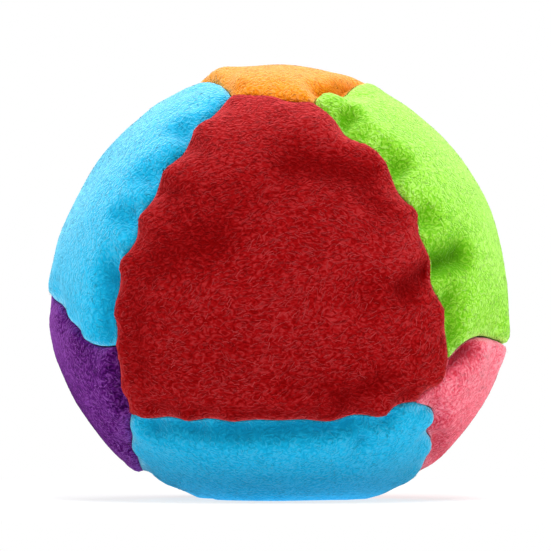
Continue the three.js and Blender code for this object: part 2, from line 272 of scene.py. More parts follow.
# The cloth solver's settings. It is made for things of a metre or so, so the cover is enlarged for it.
SOLVER_SCALE = 20
SOLVER_FRAMES = 20
POINT_MASS = 0.002
AIR_DAMPING = 2
PULL_TO_PUSH = 2  # how much harder the cloth is to stretch than to press together
MOVE_PASSES = 2  # times that its movement is evened out

# Two kinds of nap: the red panel's, combed, and the others', which swirls. How many streaks there are
# to a metre and how much finer they are up and down, the share of the colour that the darkest tufts
# keep, the size of the tufts, how far the combing turns, and how far a tuft strays from it.
COMBED = {"streaks": 740.0, "squeeze": 1.45, "dark": 0.8, "size": 1.0, "swirl": 4.0, "stray": 0.6}
SWIRLED = {"streaks": 900.0, "squeeze": 1.0, "dark": 0.65, "size": 0.7, "swirl": 12.0, "stray": 1.3}

# The tufts of nap: how far the middle and the tip of each kind bend aside, in lengths of the tuft, the
# height of both, in lifts, how much thinner the tip is, how flat the tuft is, the range of its sizes,
# and the scale at which the combing changes.
TUFT_BENDS = ((0.28, 0.05), (-0.22, -0.2), (0.1, 0.35))
TUFT_RISE = 1.6
TUFT_TIP = 0.25
TUFT_TAPER = -0.75
TUFT_FLAT = 0.25
TUFT_SIZES = (0.55, 1.25)
TUFT_TONE_SEED = 7
COMBING_SCALE = 130.0

STITCH_STEPS = 12.0  # points of thread to a stitch
STITCH_HALF_DEPTH = 0.75 * MM  # from the top of a stitch to its middle
STITCH_RAISED = 0.3 * MM  # of the stitches' middle, above the foot of the edges

# The pellets: how far apart they lie, in diameters, how far each is off its place, in steps, how many
# rows there are to either side of the middle, how flat a pellet is, and the range of their sizes.
PELLET_SEED = 3
PELLET_STEP = 1.12
PELLET_JITTER = 0.05
PELLET_ROWS = 8
PELLET_FLAT = 0.78
PELLET_SIZES = (0.9, 1.06)

# The streaks in the suede's shader. A second set of them is laid over the first.
STREAK_TURNS = 24.0  # radians of light and dark over the range of the noise
CURL_SCALE = 2.2  # of the noise that curls the streaks, for their own
CURL_PUSH = 0.5 * MM
SECOND_PLACE = (0.3, 0.1, 0.2)
SECOND_SCALE = 1.3
CLUMP_SCALE = 520.0
PATCH_SCALE = 120.0
CLUMP_TONE = 0.3  # what the clumps, the patches and a millimetre of hollow add to the streaks' tone; the hollow's part is painted shade, and a ridge's is painted light
PATCH_TONE = 0.4
SHADED_HOLLOW_TONE = -0.45
TONES = {"From Min": 0.3, "From Max": 1.4}
HOLLOW_SHADE = {"From Max": 2.0, "To Max": 0.5}  # the share of black painted as shade, by millimetres of hollow
CLUMP_HEIGHT = 0.6
NOISE_MEAN = 0.5

# The suede's materials, of the cloth and of the tufts on it.
SUEDE_SHADE = 0.88  # of the darkest nap
SUEDE_RELIEF = 0.16 * MM
RELIEF_STRENGTH = 0.7
SUEDE_ROUGHNESS = 0.95
TUFT_ROUGHNESS = 0.9
TUFT_LIGHT = 2.2  # how much further than the lightest nap the lightest tufts go to the rim's colour
# The Layer Weight's blend for the painted sheen: the rim's colour mixed in where the nap is seen edge
# on.
EDGE_BLEND = 0.4
SHEEN = 0.4
SHEEN_ROUGHNESS = 0.45

# The thread's twist, and the pellets' unevenness and grain.
TWIST_SCALE = 5200.0
TWIST_LIGHT = 0.12
TWIST_RELIEF = 0.05 * MM
THREAD_ROUGHNESS = 0.55
UNEVEN_SCALE = 210.0
UNEVEN_DARK = 0.82
GRAIN_SCALE = 2400.0
GRAIN_ROUGHNESS = (0.3, 0.4)  # the part that varies, and the least

# The lamps: place and width in metres, and power in watts.
LAMPS = {
    "top light": ((0.1, -0.3, 0.8), 0.4, 6.4),
    "back light": ((0, 0.5, 0.7), 0.5, 4.4),
    "left light": ((-0.65, 0.1, 0.5), 0.5, 3.0),
    "right light": ((0.75, 0.2, 0.4), 0.5, 1.8),
    "low light": ((0.65, -0.45, 0.06), 0.4, 0.7),
}
LAMP_AIM = Vector((0, 0, 0.026))
WORLD_LIGHT = 0.16

# The floor. By the distance from its middle it fades to white, and throws light up under the bag.
FLOOR_HALF = 3.0
FLOOR_COLOUR = (0.9, 0.9, 0.9, 1)
FLOOR_ROUGHNESS = 0.9
FLOOR_GLOW = 0.13
FLOOR_FADE = {"From Min": 0.02, "From Max": 0.09, "To Min": 0.7, "To Max": 1.0}
UNDER_GLOW = {"From Min": 0.009, "From Max": 0.018, "To Min": 0.6, "To Max": 0.0}

CAMERA_AWAY = 0.9  # metres in front of the bag's middle
CLIP_START = 0.01


def length_prop(name, description, default):
    """A length in metres that shows in the scene's units."""
    return bpy.props.FloatProperty(
        name=name, description=description, default=default, min=0, precision=5, unit="LENGTH"
    )


def number_prop(name, description, default):
    """A plain number, zero or more."""
    return bpy.props.FloatProperty(name=name, description=description, default=default, min=0)


def colour_prop(name, description, default):
    """A colour in linear red, green and blue."""
    return bpy.props.FloatVectorProperty(
        name=name, description=description, default=default, size=3, min=0, max=1, subtype="COLOR"
    )


class FootbagShape(bpy.types.PropertyGroup):
    """Sizes of the ball, its cloth, its seams and its fill."""

    bag_width: length_prop("Bag width", "Across the widest line", 55 * MM)
    crown_height: length_prop("Crown height", "From the widest line up to the top", 29.5 * MM)
    belly_depth: length_prop("Belly depth", "From the widest line down to the round bottom", 24 * MM)
    rest_flat: length_prop("Rest flat", "How far the bottom is pressed in", 1.6 * MM)
    short_seam: length_prop("Short seam", "Length of a seam between six-sided panels", 9.1 * MM)
    suede: length_prop("Suede", "Thickness of the cloth", 0.9 * MM)
    allowance: length_prop("Seam allowance", "Depth of the turned-in edges", 3 * MM)
    seam_gap: length_prop("Seam gap", "Between the two folded edges of a seam", 0.2 * MM)
    seam_dip: length_prop("Seam dip", "How far a seam lies below its panels", 1.1 * MM)
    face_shoulder: length_prop("Face shoulder", "Rounded stretch of a six-sided panel's edge", 1.2 * MM)
    corner_shoulder: length_prop("Corner shoulder", "The same of a three-sided panel", 2.2 * MM)
    pucker: length_prop("Pucker", "How far cloth rises or sinks beside a stitch at first", 0.4 * MM)
    pucker_width: length_prop("Pucker width", "How far from the seam a pucker is highest", 1.7 * MM)
    lump: length_prop("Lumps", "How far the pellets push the cloth out", 0.3 * MM)
    lump_width: length_prop("Lump width", "How far one lump is from the next", 7 * MM)
    cloth_step: length_prop("Cloth step", "Between the points of the cloth", 0.65 * MM)
    stitch_pitch: length_prop("Stitch pitch", "From one stitch to the next", 2.9 * MM)
    thread: length_prop("Thread", "Diameter of the sewing thread", 0.5 * MM)
    pellet: length_prop("Pellet", "Diameter of a pellet", 3.8 * MM)


class FootbagCloth(bpy.types.PropertyGroup):
    """How the cloth gathers beside its seams when it is simulated."""

    fullness: number_prop("Fullness", "How much longer the cloth is than the seam it is sewn to", 0.1)
    reach: length_prop("Reach", "How far from a seam the cloth is longer", 2.5 * MM)
    hold: number_prop("Hold", "How firmly the pellets hold the cloth, from 0 to 1", 0.2)
    stiffness: number_prop("Stiffness", "How hard the cloth is to stretch", 15)
    bending: number_prop("Bending", "How hard the cloth is to fold", 1)
    pressure: number_prop("Pressure", "How hard the fill pushes out", 15)
    most: length_prop("Most movement", "How far a point may move", 1.0 * MM)


class FootbagNap(bpy.types.PropertyGroup):
    """Sizes of the fibres that stand up from the suede."""

    length: length_prop("Fibre length", "Length of one tuft of nap", 0.65 * MM)
    width: length_prop("Fibre width", "Width of one tuft of nap", 0.11 * MM)
    lift: length_prop("Fibre lift", "How far a tuft stands off the cloth", 0.1 * MM)
    per_square_mm: number_prop("Fibres", "Tufts of nap on each square millimetre", 3)


class FootbagColours(bpy.types.PropertyGroup):
    """Colours of the panels, the thread and the pellets."""

    # Each rim colour is painted on where the nap is seen edge on, a painted sheen near the top of the
    # bag and on folded edges; it also lightens the nap's lightest streaks and tints the shader's own
    # sheen.
    red: colour_prop("Red", "The front panel", (0.3, 0.0035, 0.0045))
    red_rim: colour_prop("Red rim", "The same where its nap is seen edge on", (0.66, 0.075, 0.082))
    orange: colour_prop("Orange", "The top panel", (0.94, 0.3, 0.009))
    orange_rim: colour_prop("Orange rim", "The same edge on", (1.0, 0.53, 0.22))
    pink: colour_prop("Pink", "The panel at the lower right", (0.81, 0.118, 0.178))
    pink_rim: colour_prop("Pink rim", "The same edge on", (1.0, 0.42, 0.48))
    purple: colour_prop("Purple", "The panel at the lower left", (0.093, 0.0074, 0.149))
    purple_rim: colour_prop("Purple rim", "The same edge on", (0.37, 0.115, 0.51))
    blue: colour_prop("Blue", "The left and base panels", (0.008, 0.46, 0.77))
    blue_rim: colour_prop("Blue rim", "The same edge on", (0.36, 0.79, 0.97))
    green: colour_prop("Green", "The right and back panels", (0.28, 0.68, 0.035))
    green_rim: colour_prop("Green rim", "The same edge on", (0.6, 1.0, 0.27))
    thread: colour_prop("Thread", "The sewing thread", (0.045, 0.045, 0.055))
    pellet: colour_prop("Pellets", "The plastic pellets", (0.78, 0.75, 0.68))


def unit(rows):
    """The rows of an array at length 1."""
    rows = np.asarray(rows, float)
    return rows / np.linalg.norm(rows, axis=-1, keepdims=True)


def between(start, end, share):
    """The direction that lies a share of the way from one direction to another, round the ball."""
    angle = math.acos(np.clip(np.dot(start, end), -1, 1))
    return (math.sin((1 - share) * angle) * start + math.sin(share * angle) * end) / math.sin(angle)


class Ball:
    """The egg that the cover follows: wider below, and pressed flat where it rests."""

    def __init__(self, shape):
        self.half = shape.bag_width / 2
        self.crown = shape.crown_height
        self.belly = shape.belly_depth
        self.widest = shape.belly_depth - shape.rest_flat
        self.middle = np.array([0, 0, self.widest])

    def places(self, directions, lift):
        """Points in some directions of the round ball, raised off the egg by lift."""
        tall = np.where(directions[:, 2] > 0, self.crown, self.belly)
        out = directions * np.stack([np.full(len(tall), self.half)] * 2 + [tall], 1)
        full = np.linalg.norm(out, axis=1)
        fall = np.maximum(-out[:, 2] / full, TINY)
        reach = np.minimum(full, self.widest / fall) + lift
        return self.middle + out * (reach / full)[:, None]

    def front(self, x, z, sunk=0.0):
        """The direction of a point at the front, seen square on, in millimetres."""
        across = x * MM / (self.half - sunk)
        up = z * MM / ((self.crown if z > 0 else self.belly) - sunk)
        return np.array([across, -math.sqrt(1 - across**2 - up**2), up])


def smooth_line(knots, at):
    """Values at some places of a smooth curve through knots of place and value."""
    x, y = np.array(knots, float).T
    slope = np.gradient(y, x)
    i = np.clip(np.searchsorted(x, at) - 1, 0, len(x) - 2)
    step = x[i + 1] - x[i]
    t = (at - x[i]) / step
    rise = (2 * t**3 - 3 * t**2 + 1) * y[i] + (3 * t**2 - 2 * t**3) * y[i + 1]
    return rise + step * ((t**3 - 2 * t**2 + t) * slope[i] + (t**3 - t**2) * slope[i + 1])


class Seam:
    """One seam: its points over the round ball, and how its cloth puckers to either side."""

    def __init__(self, ball, step, start, end, panels, draw):
        self.panels = panels
        length = math.acos(np.dot(start, end)) * ball.half
        self.count = max(4, round(length / step))
        along = np.linspace(0, length, self.count + 1)
        wander = SEAM_WANDER.get(panels) or self.hidden_wander(length / MM, draw)
        aside = smooth_line([(0, 0), *wander, (length / MM, 0)], along / MM)
        across = unit(np.cross(start, end))
        towards = math.copysign(1, np.dot(across, panel_middle(panels[1])))
        line = np.array([between(start, end, t) for t in along / length])
        self.line = unit(line + np.outer(aside * MM / ball.half * towards, across))
        reach = max(2, round(PUCKER_RUN / step))
        padded = np.pad(aside, reach, mode="edge")
        mean = np.convolve(padded, np.ones(2 * reach + 1) / (2 * reach + 1), "valid")
        ends = np.minimum(1, np.minimum(along, length - along) / PUCKER_ENDS)
        self.swell = np.clip((aside - mean) / FULL_PUCKER, -1, 1) * ends

    @staticmethod
    def hidden_wander(length, draw):
        """A seam that the photograph doesn't show wanders from stitch to stitch at random."""
        places = [draw.uniform(*WANDER_START)]
        while places[-1] < length - WANDER_END:
            places.append(places[-1] + draw.uniform(*WANDER_STEP))
        return [(x, draw.uniform(*WANDER_ASIDE) * (-1) ** i) for i, x in enumerate(places)]


def turned_corners():
    """The middles of the three-sided panels, with the ball leaning back and turned a little."""
    lean, turn = -FRONT_LEAN, -FRONT_TURN
    tilt = np.array([
        [1, 0, 0],
        [0, math.cos(lean), -math.sin(lean)],
        [0, math.sin(lean), math.cos(lean)],
    ])
    spin = np.array([
        [math.cos(turn), -math.sin(turn), 0],
        [math.sin(turn), math.cos(turn), 0],
        [0, 0, 1],
    ])
    return np.array(CORNER_UPS) @ tilt.T @ spin.T


CORNERS = turned_corners()


def panel_middle(name):
    """The direction of a panel's middle."""
    if name in CORNER_PANELS:
        return CORNERS[CORNER_PANELS.index(name)]
    return -CORNERS[FACE_PANELS.index(name)]


def sewn_seams(shape, ball):
    """The twelve junctions, and the eighteen seams between them as (seam, start, end)."""
    corner_angle = math.acos(-1 / 3)
    share = (1 - shape.short_seam / ball.half / corner_angle) / 2
    pairs = [(i, j) for i in range(4) for j in range(4) if i != j]
    junctions = {}
    for i, j in pairs:
        place = FRONT_JUNCTIONS.get((i, j))
        if place:
            junctions[i, j] = ball.front(*place, JUNCTION_SINK * shape.seam_dip)
        else:
            junctions[i, j] = between(CORNERS[i], CORNERS[j], share)
    draw = random.Random(WANDER_SEED)
    seams = []

    def sew(start, end, panels):
        """Adds the seam between two junctions."""
        made = Seam(ball, shape.cloth_step, junctions[start], junctions[end], panels, draw)
        seams.append((made, start, end))

    for corner in range(4):
        for face in [i for i in range(4) if i != corner]:
            j, k = [i for i in range(4) if i not in (corner, face)]
            sew((corner, j), (corner, k), (CORNER_PANELS[corner], FACE_PANELS[face]))
    for a, b in [pair for pair in pairs if pair[0] < pair[1]]:
        first, second = [i for i in range(4) if i not in (a, b)]
        sew((a, b), (b, a), (FACE_PANELS[first], FACE_PANELS[second]))
    return junctions, seams


def seam_depth(shape, ball, directions):
    """How far a seam lies below its panels at some points."""
    share = np.ones(len(directions))
    for place, width in FULL_SEAMS:
        gap = np.linalg.norm(directions - ball.front(*place), axis=1) * ball.half
        share *= 1 - FULL_SHARE * np.exp(-((gap / (width * MM)) ** 2))
    return shape.seam_dip * share


class Flat:
    """A panel laid flat: the map between the round ball and the panel's own plane."""

    def __init__(self, name, half):
        self.middle = panel_middle(name)
        self.half = half
        self.right = unit(np.cross((0, 0, 1), self.middle))
        self.up = np.cross(self.middle, self.right)

    def lay(self, directions):
        """Directions of the ball as points of the plane."""
        angle = np.arccos(np.clip(directions @ self.middle, -1, 1))
        flat = np.stack([directions @ self.right, directions @ self.up], 1)
        size = np.maximum(np.linalg.norm(flat, axis=1), TINY)
        return flat * (self.half * angle / size)[:, None]

    def wrap(self, points):
        """Points of the plane as directions of the ball."""
        size = np.maximum(np.linalg.norm(points, axis=1), TINY)
        angle = size / self.half
        side = (points / size[:, None]) @ np.stack([self.right, self.up])
        return np.cos(angle)[:, None] * self.middle + np.sin(angle)[:, None] * side


def inside(points, outline):
    """Which points lie inside a closed outline."""
    x, y = points[:, :1], points[:, 1:]
    ax, ay = outline.T
    bx, by = np.roll(outline, -1, axis=0).T
    crosses = (ay > y) != (by > y)
    with np.errstate(divide="ignore", invalid="ignore"):
        hits = crosses & (x < (bx - ax) * (y - ay) / (by - ay) + ax)
    return hits.sum(1) % 2 == 1


def gaps_to(points, others):
    """The distances from each point to each of some others."""
    return np.linalg.norm(points[:, None] - others[None], axis=2)


def cloth_net(outline, step):
    """Points and triangles that fill a flat outline evenly. The outline's points come first."""
    low, high = outline.min(0), outline.max(0)
    rows = np.arange(low[1], high[1], step * math.sqrt(3) / 2)
    lattice = [
        (x + step / 2 * (i % 2), y) for i, y in enumerate(rows) for x in np.arange(low[0], high[0], step)
    ]
    lattice = np.array(lattice)
    lattice = lattice[inside(lattice, outline)]
    lattice = lattice[gaps_to(lattice, outline).min(1) > NET_CLEARANCE * step]
    points = np.vstack([outline, lattice])
    rim = len(outline)
    edges = [(i, (i + 1) % rim) for i in range(rim)]
    in_steps = [Vector(p) for p in points / step]
    found = geometry.delaunay_2d_cdt(in_steps, edges, [], NET_INSIDE, NET_TOLERANCE)
    triangles = np.array([list(face) for face in found[2]])
    assert len(found[0]) == len(points), "the net gained or lost points"
    return evened(points, triangles, rim, NET_PASSES), triangles


def evened(points, triangles, rim, times):
    """The points of a net moved some times to their neighbours' middles, with the first ones held."""
    ends = np.vstack([triangles[:, [0, 1]], triangles[:, [1, 2]], triangles[:, [2, 0]]])
    count = np.bincount(ends[:, 0], minlength=len(points))[:, None]
    for _ in range(times):
        total = np.zeros_like(points)
        np.add.at(total, ends[:, 0], points[ends[:, 1]])
        moved = total / np.maximum(count, 1)
        points = np.vstack([points[:rim], moved[rim:]])
    return points


class Cover:
    """The whole cover: the points and triangles of all panels, sharing the points on their seams."""

    def __init__(self, shape):
        self.shape = shape
        self.ball = Ball(shape)
        self.junctions, self.seams = sewn_seams(shape, self.ball)
        names = list(self.junctions)
        directions = [np.array([self.junctions[name] for name in names])]
        self.seam_ids = []
        total = len(names)
        for seam, start, end in self.seams:
            inner = seam.line[1:-1]
            ids = [names.index(start), *range(total, total + len(inner)), names.index(end)]
            self.seam_ids.append(ids)
            directions.append(inner)
            total += len(inner)
        self.hollows = self.seen_folds() + self.gathers()
        self.rims, self.nets, self.ids, self.flats = {}, {}, {}, {}
        lifts = [-seam_depth(shape, self.ball, np.vstack(directions))]
        pressed = [np.zeros(total)]
        gaps = [np.zeros(total)]
        for name in PANELS:
            rim, swell = self.rim(name)
            flat = Flat(name, self.ball.half)
            line = np.vstack(directions)[rim]
            points, triangles = cloth_net(flat.lay(line), shape.cloth_step)
            inner = points[len(rim):]
            self.rims[name] = rim
            self.nets[name] = triangles
            self.ids[name] = np.array([*rim, *range(total, total + len(inner))])
            self.flats[name] = points[:len(rim)]
            round_inner = flat.wrap(inner)
            directions.append(round_inner)
            folds = self.folds(name, round_inner)
            pressed.append(folds)
            gap = gaps_to(inner, points[:len(rim)])
            gaps.append(gap.min(1))
            lifts.append(self.lift(name, gap, round_inner, swell) - folds)
            total += len(inner)
        # How deep each point lies in a hollow, a ridge being negative; besides the shape, the materials
        # paint shade in hollows and light on ridges by it.
        self.pressed = np.concatenate(pressed)
        self.gaps = np.concatenate(gaps)
        self.points = self.ball.places(np.vstack(directions), np.concatenate(lifts))
        self.points[:, 2] = np.maximum(self.points[:, 2], 0)

    def rim(self, name):
        """A panel's outline, counter-clockwise from outside, and how far its cloth swells there."""
        left = [
            (ids, seam.swell * (1 if seam.panels[0] == name else -1))
            for (seam, _, _), ids in zip(self.seams, self.seam_ids)
            if name in seam.panels
        ]
        ids, swell = left.pop(0)
        rim, swells = list(ids[:-1]), list(swell[:-1])
        last = ids[-1]
        while left:
            i = next(k for k, (one, _) in enumerate(left) if last in (one[0], one[-1]))
            ids, swell = left.pop(i)
            if ids[0] != last:
                ids, swell = ids[::-1], swell[::-1]
            rim += ids[:-1]
            swells += list(swell[:-1])
            last = ids[-1]
        places = np.array([self.direction(i) for i in rim[:2]])
        if np.dot(np.cross(*places), panel_middle(name)) < 0:
            rim, swells = rim[::-1], swells[::-1]
        return rim, np.array(swells)

    def direction(self, i):
        """The direction of a junction or a point on a seam."""
        names = list(self.junctions)
        if i < len(names):
            return self.junctions[names[i]]
        for (seam, _, _), ids in zip(self.seams, self.seam_ids):
            if i in ids:
                return seam.line[ids.index(i)]
        raise ValueError(f"no seam has point {i}")

    def lift(self, name, gaps, directions, swell):
        """How far the cloth of a panel stands off the egg, by its points' gaps to the rim's points."""
        shape = self.shape
        near = gaps.min(1)
        weight = (gaps**2 + RIM_BLEND**2) ** -2
        swells = weight @ swell / weight.sum(1)
        shoulder = shape.corner_shoulder if name in CORNER_PANELS else shape.face_shoulder
        lift = -seam_depth(shape, self.ball, directions) * np.exp(-near / shoulder)
        away = near / shape.pucker_width
        lift += shape.pucker * swells * away * np.exp(1 - away)
        lumps = [noise.noise(Vector(d * self.ball.half / shape.lump_width)) for d in directions]
        return lift + shape.lump * np.array(lumps)

    def folds(self, name, directions):
        """How deep the hollows and folds of a panel are at some points."""
        deep = np.zeros(len(directions))
        for panel, start, end, depth, width in self.hollows:
            if panel == name:
                gap = gap_to_arc(directions, start, end) * self.ball.half
                deep += depth * MM * np.exp(-((gap / (width * MM)) ** 2))
        return deep

    def seen_folds(self):
        """The folds of both tables, with directions for their ends."""
        front = self.ball.front
        turned = np.array([1, -1, 1])
        return [(name, front(*start), front(*end), *size) for name, start, end, *size in FOLDS] + [
            (name, front(*start) * turned, front(*end) * turned, *size)
            for name, start, end, *size in BACK_FOLDS
        ]

    def gathers(self):
        """Small hollows that run into the panels from the seams behind, as the front ones do."""
        draw = random.Random(GATHER_SEED)
        step = self.shape.cloth_step / MM
        hollows = []
        for seam, _, _ in self.seams:
            place = draw.uniform(*GATHER_PLACE)
            while place < (seam.count - 1) * step:
                spot = seam.line[round(place / step)]
                panel = draw.choice(seam.panels)
                reach, slant = draw.uniform(*GATHER_REACH), draw.uniform(*GATHER_SLANT)
                size = draw.uniform(*GATHER_DEPTH), draw.uniform(*GATHER_WIDTH)
                inward = unit(panel_middle(panel) - spot * np.dot(panel_middle(panel), spot))
                heading = (inward + slant * np.cross(spot, inward)) * MM / self.ball.half
                if spot[1] > BEHIND:
                    start, end = spot + GATHER_START * heading, spot + (GATHER_START + reach) * heading
                    hollows.append((panel, start, end, *size))
                place += draw.uniform(*GATHER_STEP)
        return hollows


def gap_to_arc(directions, start, end):
    """The angle from each direction to the nearest point between two others."""
    span = end - start
    share = np.clip((directions - start) @ span / np.dot(span, span), 0, 1)
    return np.linalg.norm(directions - start - share[:, None] * span, axis=1)


def gathered(cover, cloth):
    """The cover's points once its cloth, longer than its seams, has puckered beside them."""
    middle = cover.ball.middle
    faces = np.vstack([cover.ids[name][cover.nets[name]] for name in PANELS])
    trial = new_object("trial", (cover.points - middle) * SOLVER_SCALE, faces.tolist())
    pin = trial.vertex_groups.new(name="pin")
    plain = trial.vertex_groups.new(name="plain")
    for i, gap in enumerate(cover.gaps):
        pin.add([i], 1.0 if gap == 0 else cloth.hold, "REPLACE")
        plain.add([i], 1 - math.exp(-((gap / cloth.reach) ** 2)), "REPLACE")
    modifier = trial.modifiers.new("cloth", "CLOTH")
    settings = modifier.settings
    settings.mass = POINT_MASS
    settings.tension_stiffness = PULL_TO_PUSH * cloth.stiffness
    settings.compression_stiffness = cloth.stiffness
    settings.shear_stiffness = cloth.stiffness
    settings.bending_stiffness = cloth.bending
    settings.air_damping = AIR_DAMPING
    settings.use_pressure = True
    settings.uniform_pressure_force = cloth.pressure
    settings.effector_weights.gravity = 0
    settings.vertex_group_mass = "pin"
    settings.vertex_group_shrink = "plain"
    settings.shrink_min = -cloth.fullness
    settings.shrink_max = 0
    modifier.collision_settings.use_collision = False
    modifier.point_cache.frame_end = SOLVER_FRAMES
    scene = bpy.context.scene
    for frame_number in range(1, SOLVER_FRAMES + 1):
        scene.frame_set(frame_number)
    settled = trial.evaluated_get(bpy.context.evaluated_depsgraph_get()).data
    places = np.empty(3 * len(cover.points))
    settled.vertices.foreach_get("co", places)
    move = places.reshape(-1, 3) / SOLVER_SCALE + middle - cover.points
    move = evened(move, faces, np.count_nonzero(cover.gaps == 0), MOVE_PASSES)
    bpy.data.meshes.remove(trial.data)
    scene.frame_set(1)
    size = np.maximum(np.linalg.norm(move, axis=1, keepdims=True), TINY)
    points = cover.points + move * np.minimum(1, cloth.most / size)
    points[:, 2] = np.maximum(points[:, 2], 0)
    return points


def new_object(name, points, faces):
    """A mesh object at the origin, in the scene's collection, shaded smooth."""
    mesh = bpy.data.meshes.new(name)
    mesh.from_pydata(np.asarray(points).tolist(), [], faces)
    mesh.update()
    mesh.shade_smooth()
    made = bpy.data.objects.new(name, mesh)
    bpy.context.scene.collection.objects.link(made)
    return made


def panel_shell(cover, name):
    """The points and faces of one panel: its crown, its turned-in edge and its lining."""
    shape, middle = cover.shape, cover.ball.middle
    rim_size = len(cover.rims[name])
    outer = cover.points[cover.ids[name]]
    crown = cover.ball.places(panel_middle(name)[None], np.zeros(1))[0]
    out = unit(outer - middle)
    reach = np.linalg.norm(outer - middle, axis=1)
    towards = unit(crown - middle)
    nearest = np.arccos(out[:rim_size] @ towards).min() * cover.ball.half

    def shifted(rows, inset, depth):
        """Some of the outer points, moved towards the panel's middle and inwards."""
        turned = unit(out[rows] + (towards - out[rows]) * (inset / nearest))
        return middle + turned * (reach[rows] - depth)[:, None]

    rim, everything = slice(0, rim_size), slice(0, len(outer))
    edge, back = shape.seam_gap / 2, shape.seam_gap / 2 + shape.suede
    points = [shifted(rim, edge, 0), outer[rim_size:]]
    levels = (*EDGE_LEVELS, shape.allowance)
    points += [shifted(rim, edge, level) for level in levels]
    points += [shifted(rim, back, level) for level in levels[:0:-1]]
    points.append(shifted(everything, back, shape.suede))
    starts = np.cumsum([0] + [len(rows) for rows in points])
    strips = [0, *starts[2:]][:-1]
    triangles = cover.nets[name]
    faces = [tuple(face) for face in triangles]
    for top, foot in zip(strips, strips[1:]):
        for i in range(rim_size):
            j = (i + 1) % rim_size
            faces.append((top + i, foot + i, foot + j, top + j))
    lining = strips[-1]
    faces += [tuple(lining + i for i in face[::-1]) for face in triangles]
    return np.vstack(points), faces, len(outer)


class Nodes:
    """A node tree that is built up by adding nodes and setting or linking their inputs by name."""

    def __init__(self, tree):
        self.tree = tree

    def add(self, kind, inputs=None, **settings):
        """A new node, with its inputs and settings."""
        node = self.tree.nodes.new(kind)
        for key, value in settings.items():
            setattr(node, key, value)
        for key, value in (inputs or {}).items():
            self.feed(node.inputs[key], value)
        return node

    def feed(self, socket, value):
        """Links a socket or a node's first output to an input, or sets the input to a value."""
        if isinstance(value, bpy.types.NodeSocket):
            self.tree.links.new(value, socket)
        elif isinstance(value, bpy.types.Node):
            self.tree.links.new(value.outputs[0], socket)
        else:
            socket.default_value = value

    def math(self, operation, a, b=0.0, c=0.0):
        """The result of an operation on numbers."""
        node = self.add("ShaderNodeMath", operation=operation)
        for socket, value in zip(node.inputs, (a, b, c)):
            self.feed(socket, value)
        return node.outputs[0]

    def vector(self, operation, a, b=(0, 0, 0), scale=None):
        """The result of an operation on vectors."""
        node = self.add("ShaderNodeVectorMath", operation=operation)
        self.feed(node.inputs[0], a)
        if scale is None:
            self.feed(node.inputs[1], b)
        else:
            self.feed(node.inputs["Scale"], scale)
        return node.outputs[0]

    def mix(self, share, a, b):
        """A colour that lies a share of the way from one to another."""
        # The node has more sockets of these names, so the colour ones go by number.
        node = self.add("ShaderNodeMix", {0: share, 6: a, 7: b}, data_type="RGBA")
        return node.outputs[2]

    def noise(self, where, scale, detail=0.0):
        """The outputs of a noise at some places."""
        inputs = {"Vector": where, "Scale": scale, "Detail": detail}
        return self.add("ShaderNodeTexNoise", inputs).outputs

    def ranged(self, value, ends, **settings):
        """A value mapped from one range to another."""
        return self.add("ShaderNodeMapRange", {"Value": value, **ends}, **settings).outputs[0]

    def noted(self, label):
        """A number that the mesh holds under a label."""
        return self.add("ShaderNodeAttribute", attribute_name=label).outputs["Fac"]

    def drawn(self, low=0.0, high=1.0, seed=0):
        """A number drawn for each point."""
        # Here too the sockets for plain numbers go by number.
        inputs = {2: low, 3: high, "Seed": seed}
        return self.add("FunctionNodeRandomValue", inputs, data_type="FLOAT").outputs[1]

    def end(self, geometry, given, out):
        """Ends a Geometry Nodes tree: everything made real, in the material given."""
        real = self.add("GeometryNodeRealizeInstances", {"Geometry": geometry})
        done = self.add("GeometryNodeSetMaterial", {"Geometry": real, "Material": given["Material"]})
        self.feed(out["Geometry"], done)


SOCKETS = {
    "float": "NodeSocketFloat",
    "int": "NodeSocketInt",
    "vector": "NodeSocketVector",
    "colour": "NodeSocketColor",
    "geometry": "NodeSocketGeometry",
    "material": "NodeSocketMaterial",
}


def new_group(name, kind, inputs, outputs):
    """A node group with named inputs and outputs, given as name and kind of socket."""
    tree = bpy.data.node_groups.new(name, kind)
    for label, sort in inputs.items():
        tree.interface.new_socket(name=label, in_out="INPUT", socket_type=SOCKETS[sort])
    for label, sort in outputs.items():
        tree.interface.new_socket(name=label, in_out="OUTPUT", socket_type=SOCKETS[sort])
    nodes = Nodes(tree)
    return nodes, nodes.add("NodeGroupInput").outputs, nodes.add("NodeGroupOutput").inputs


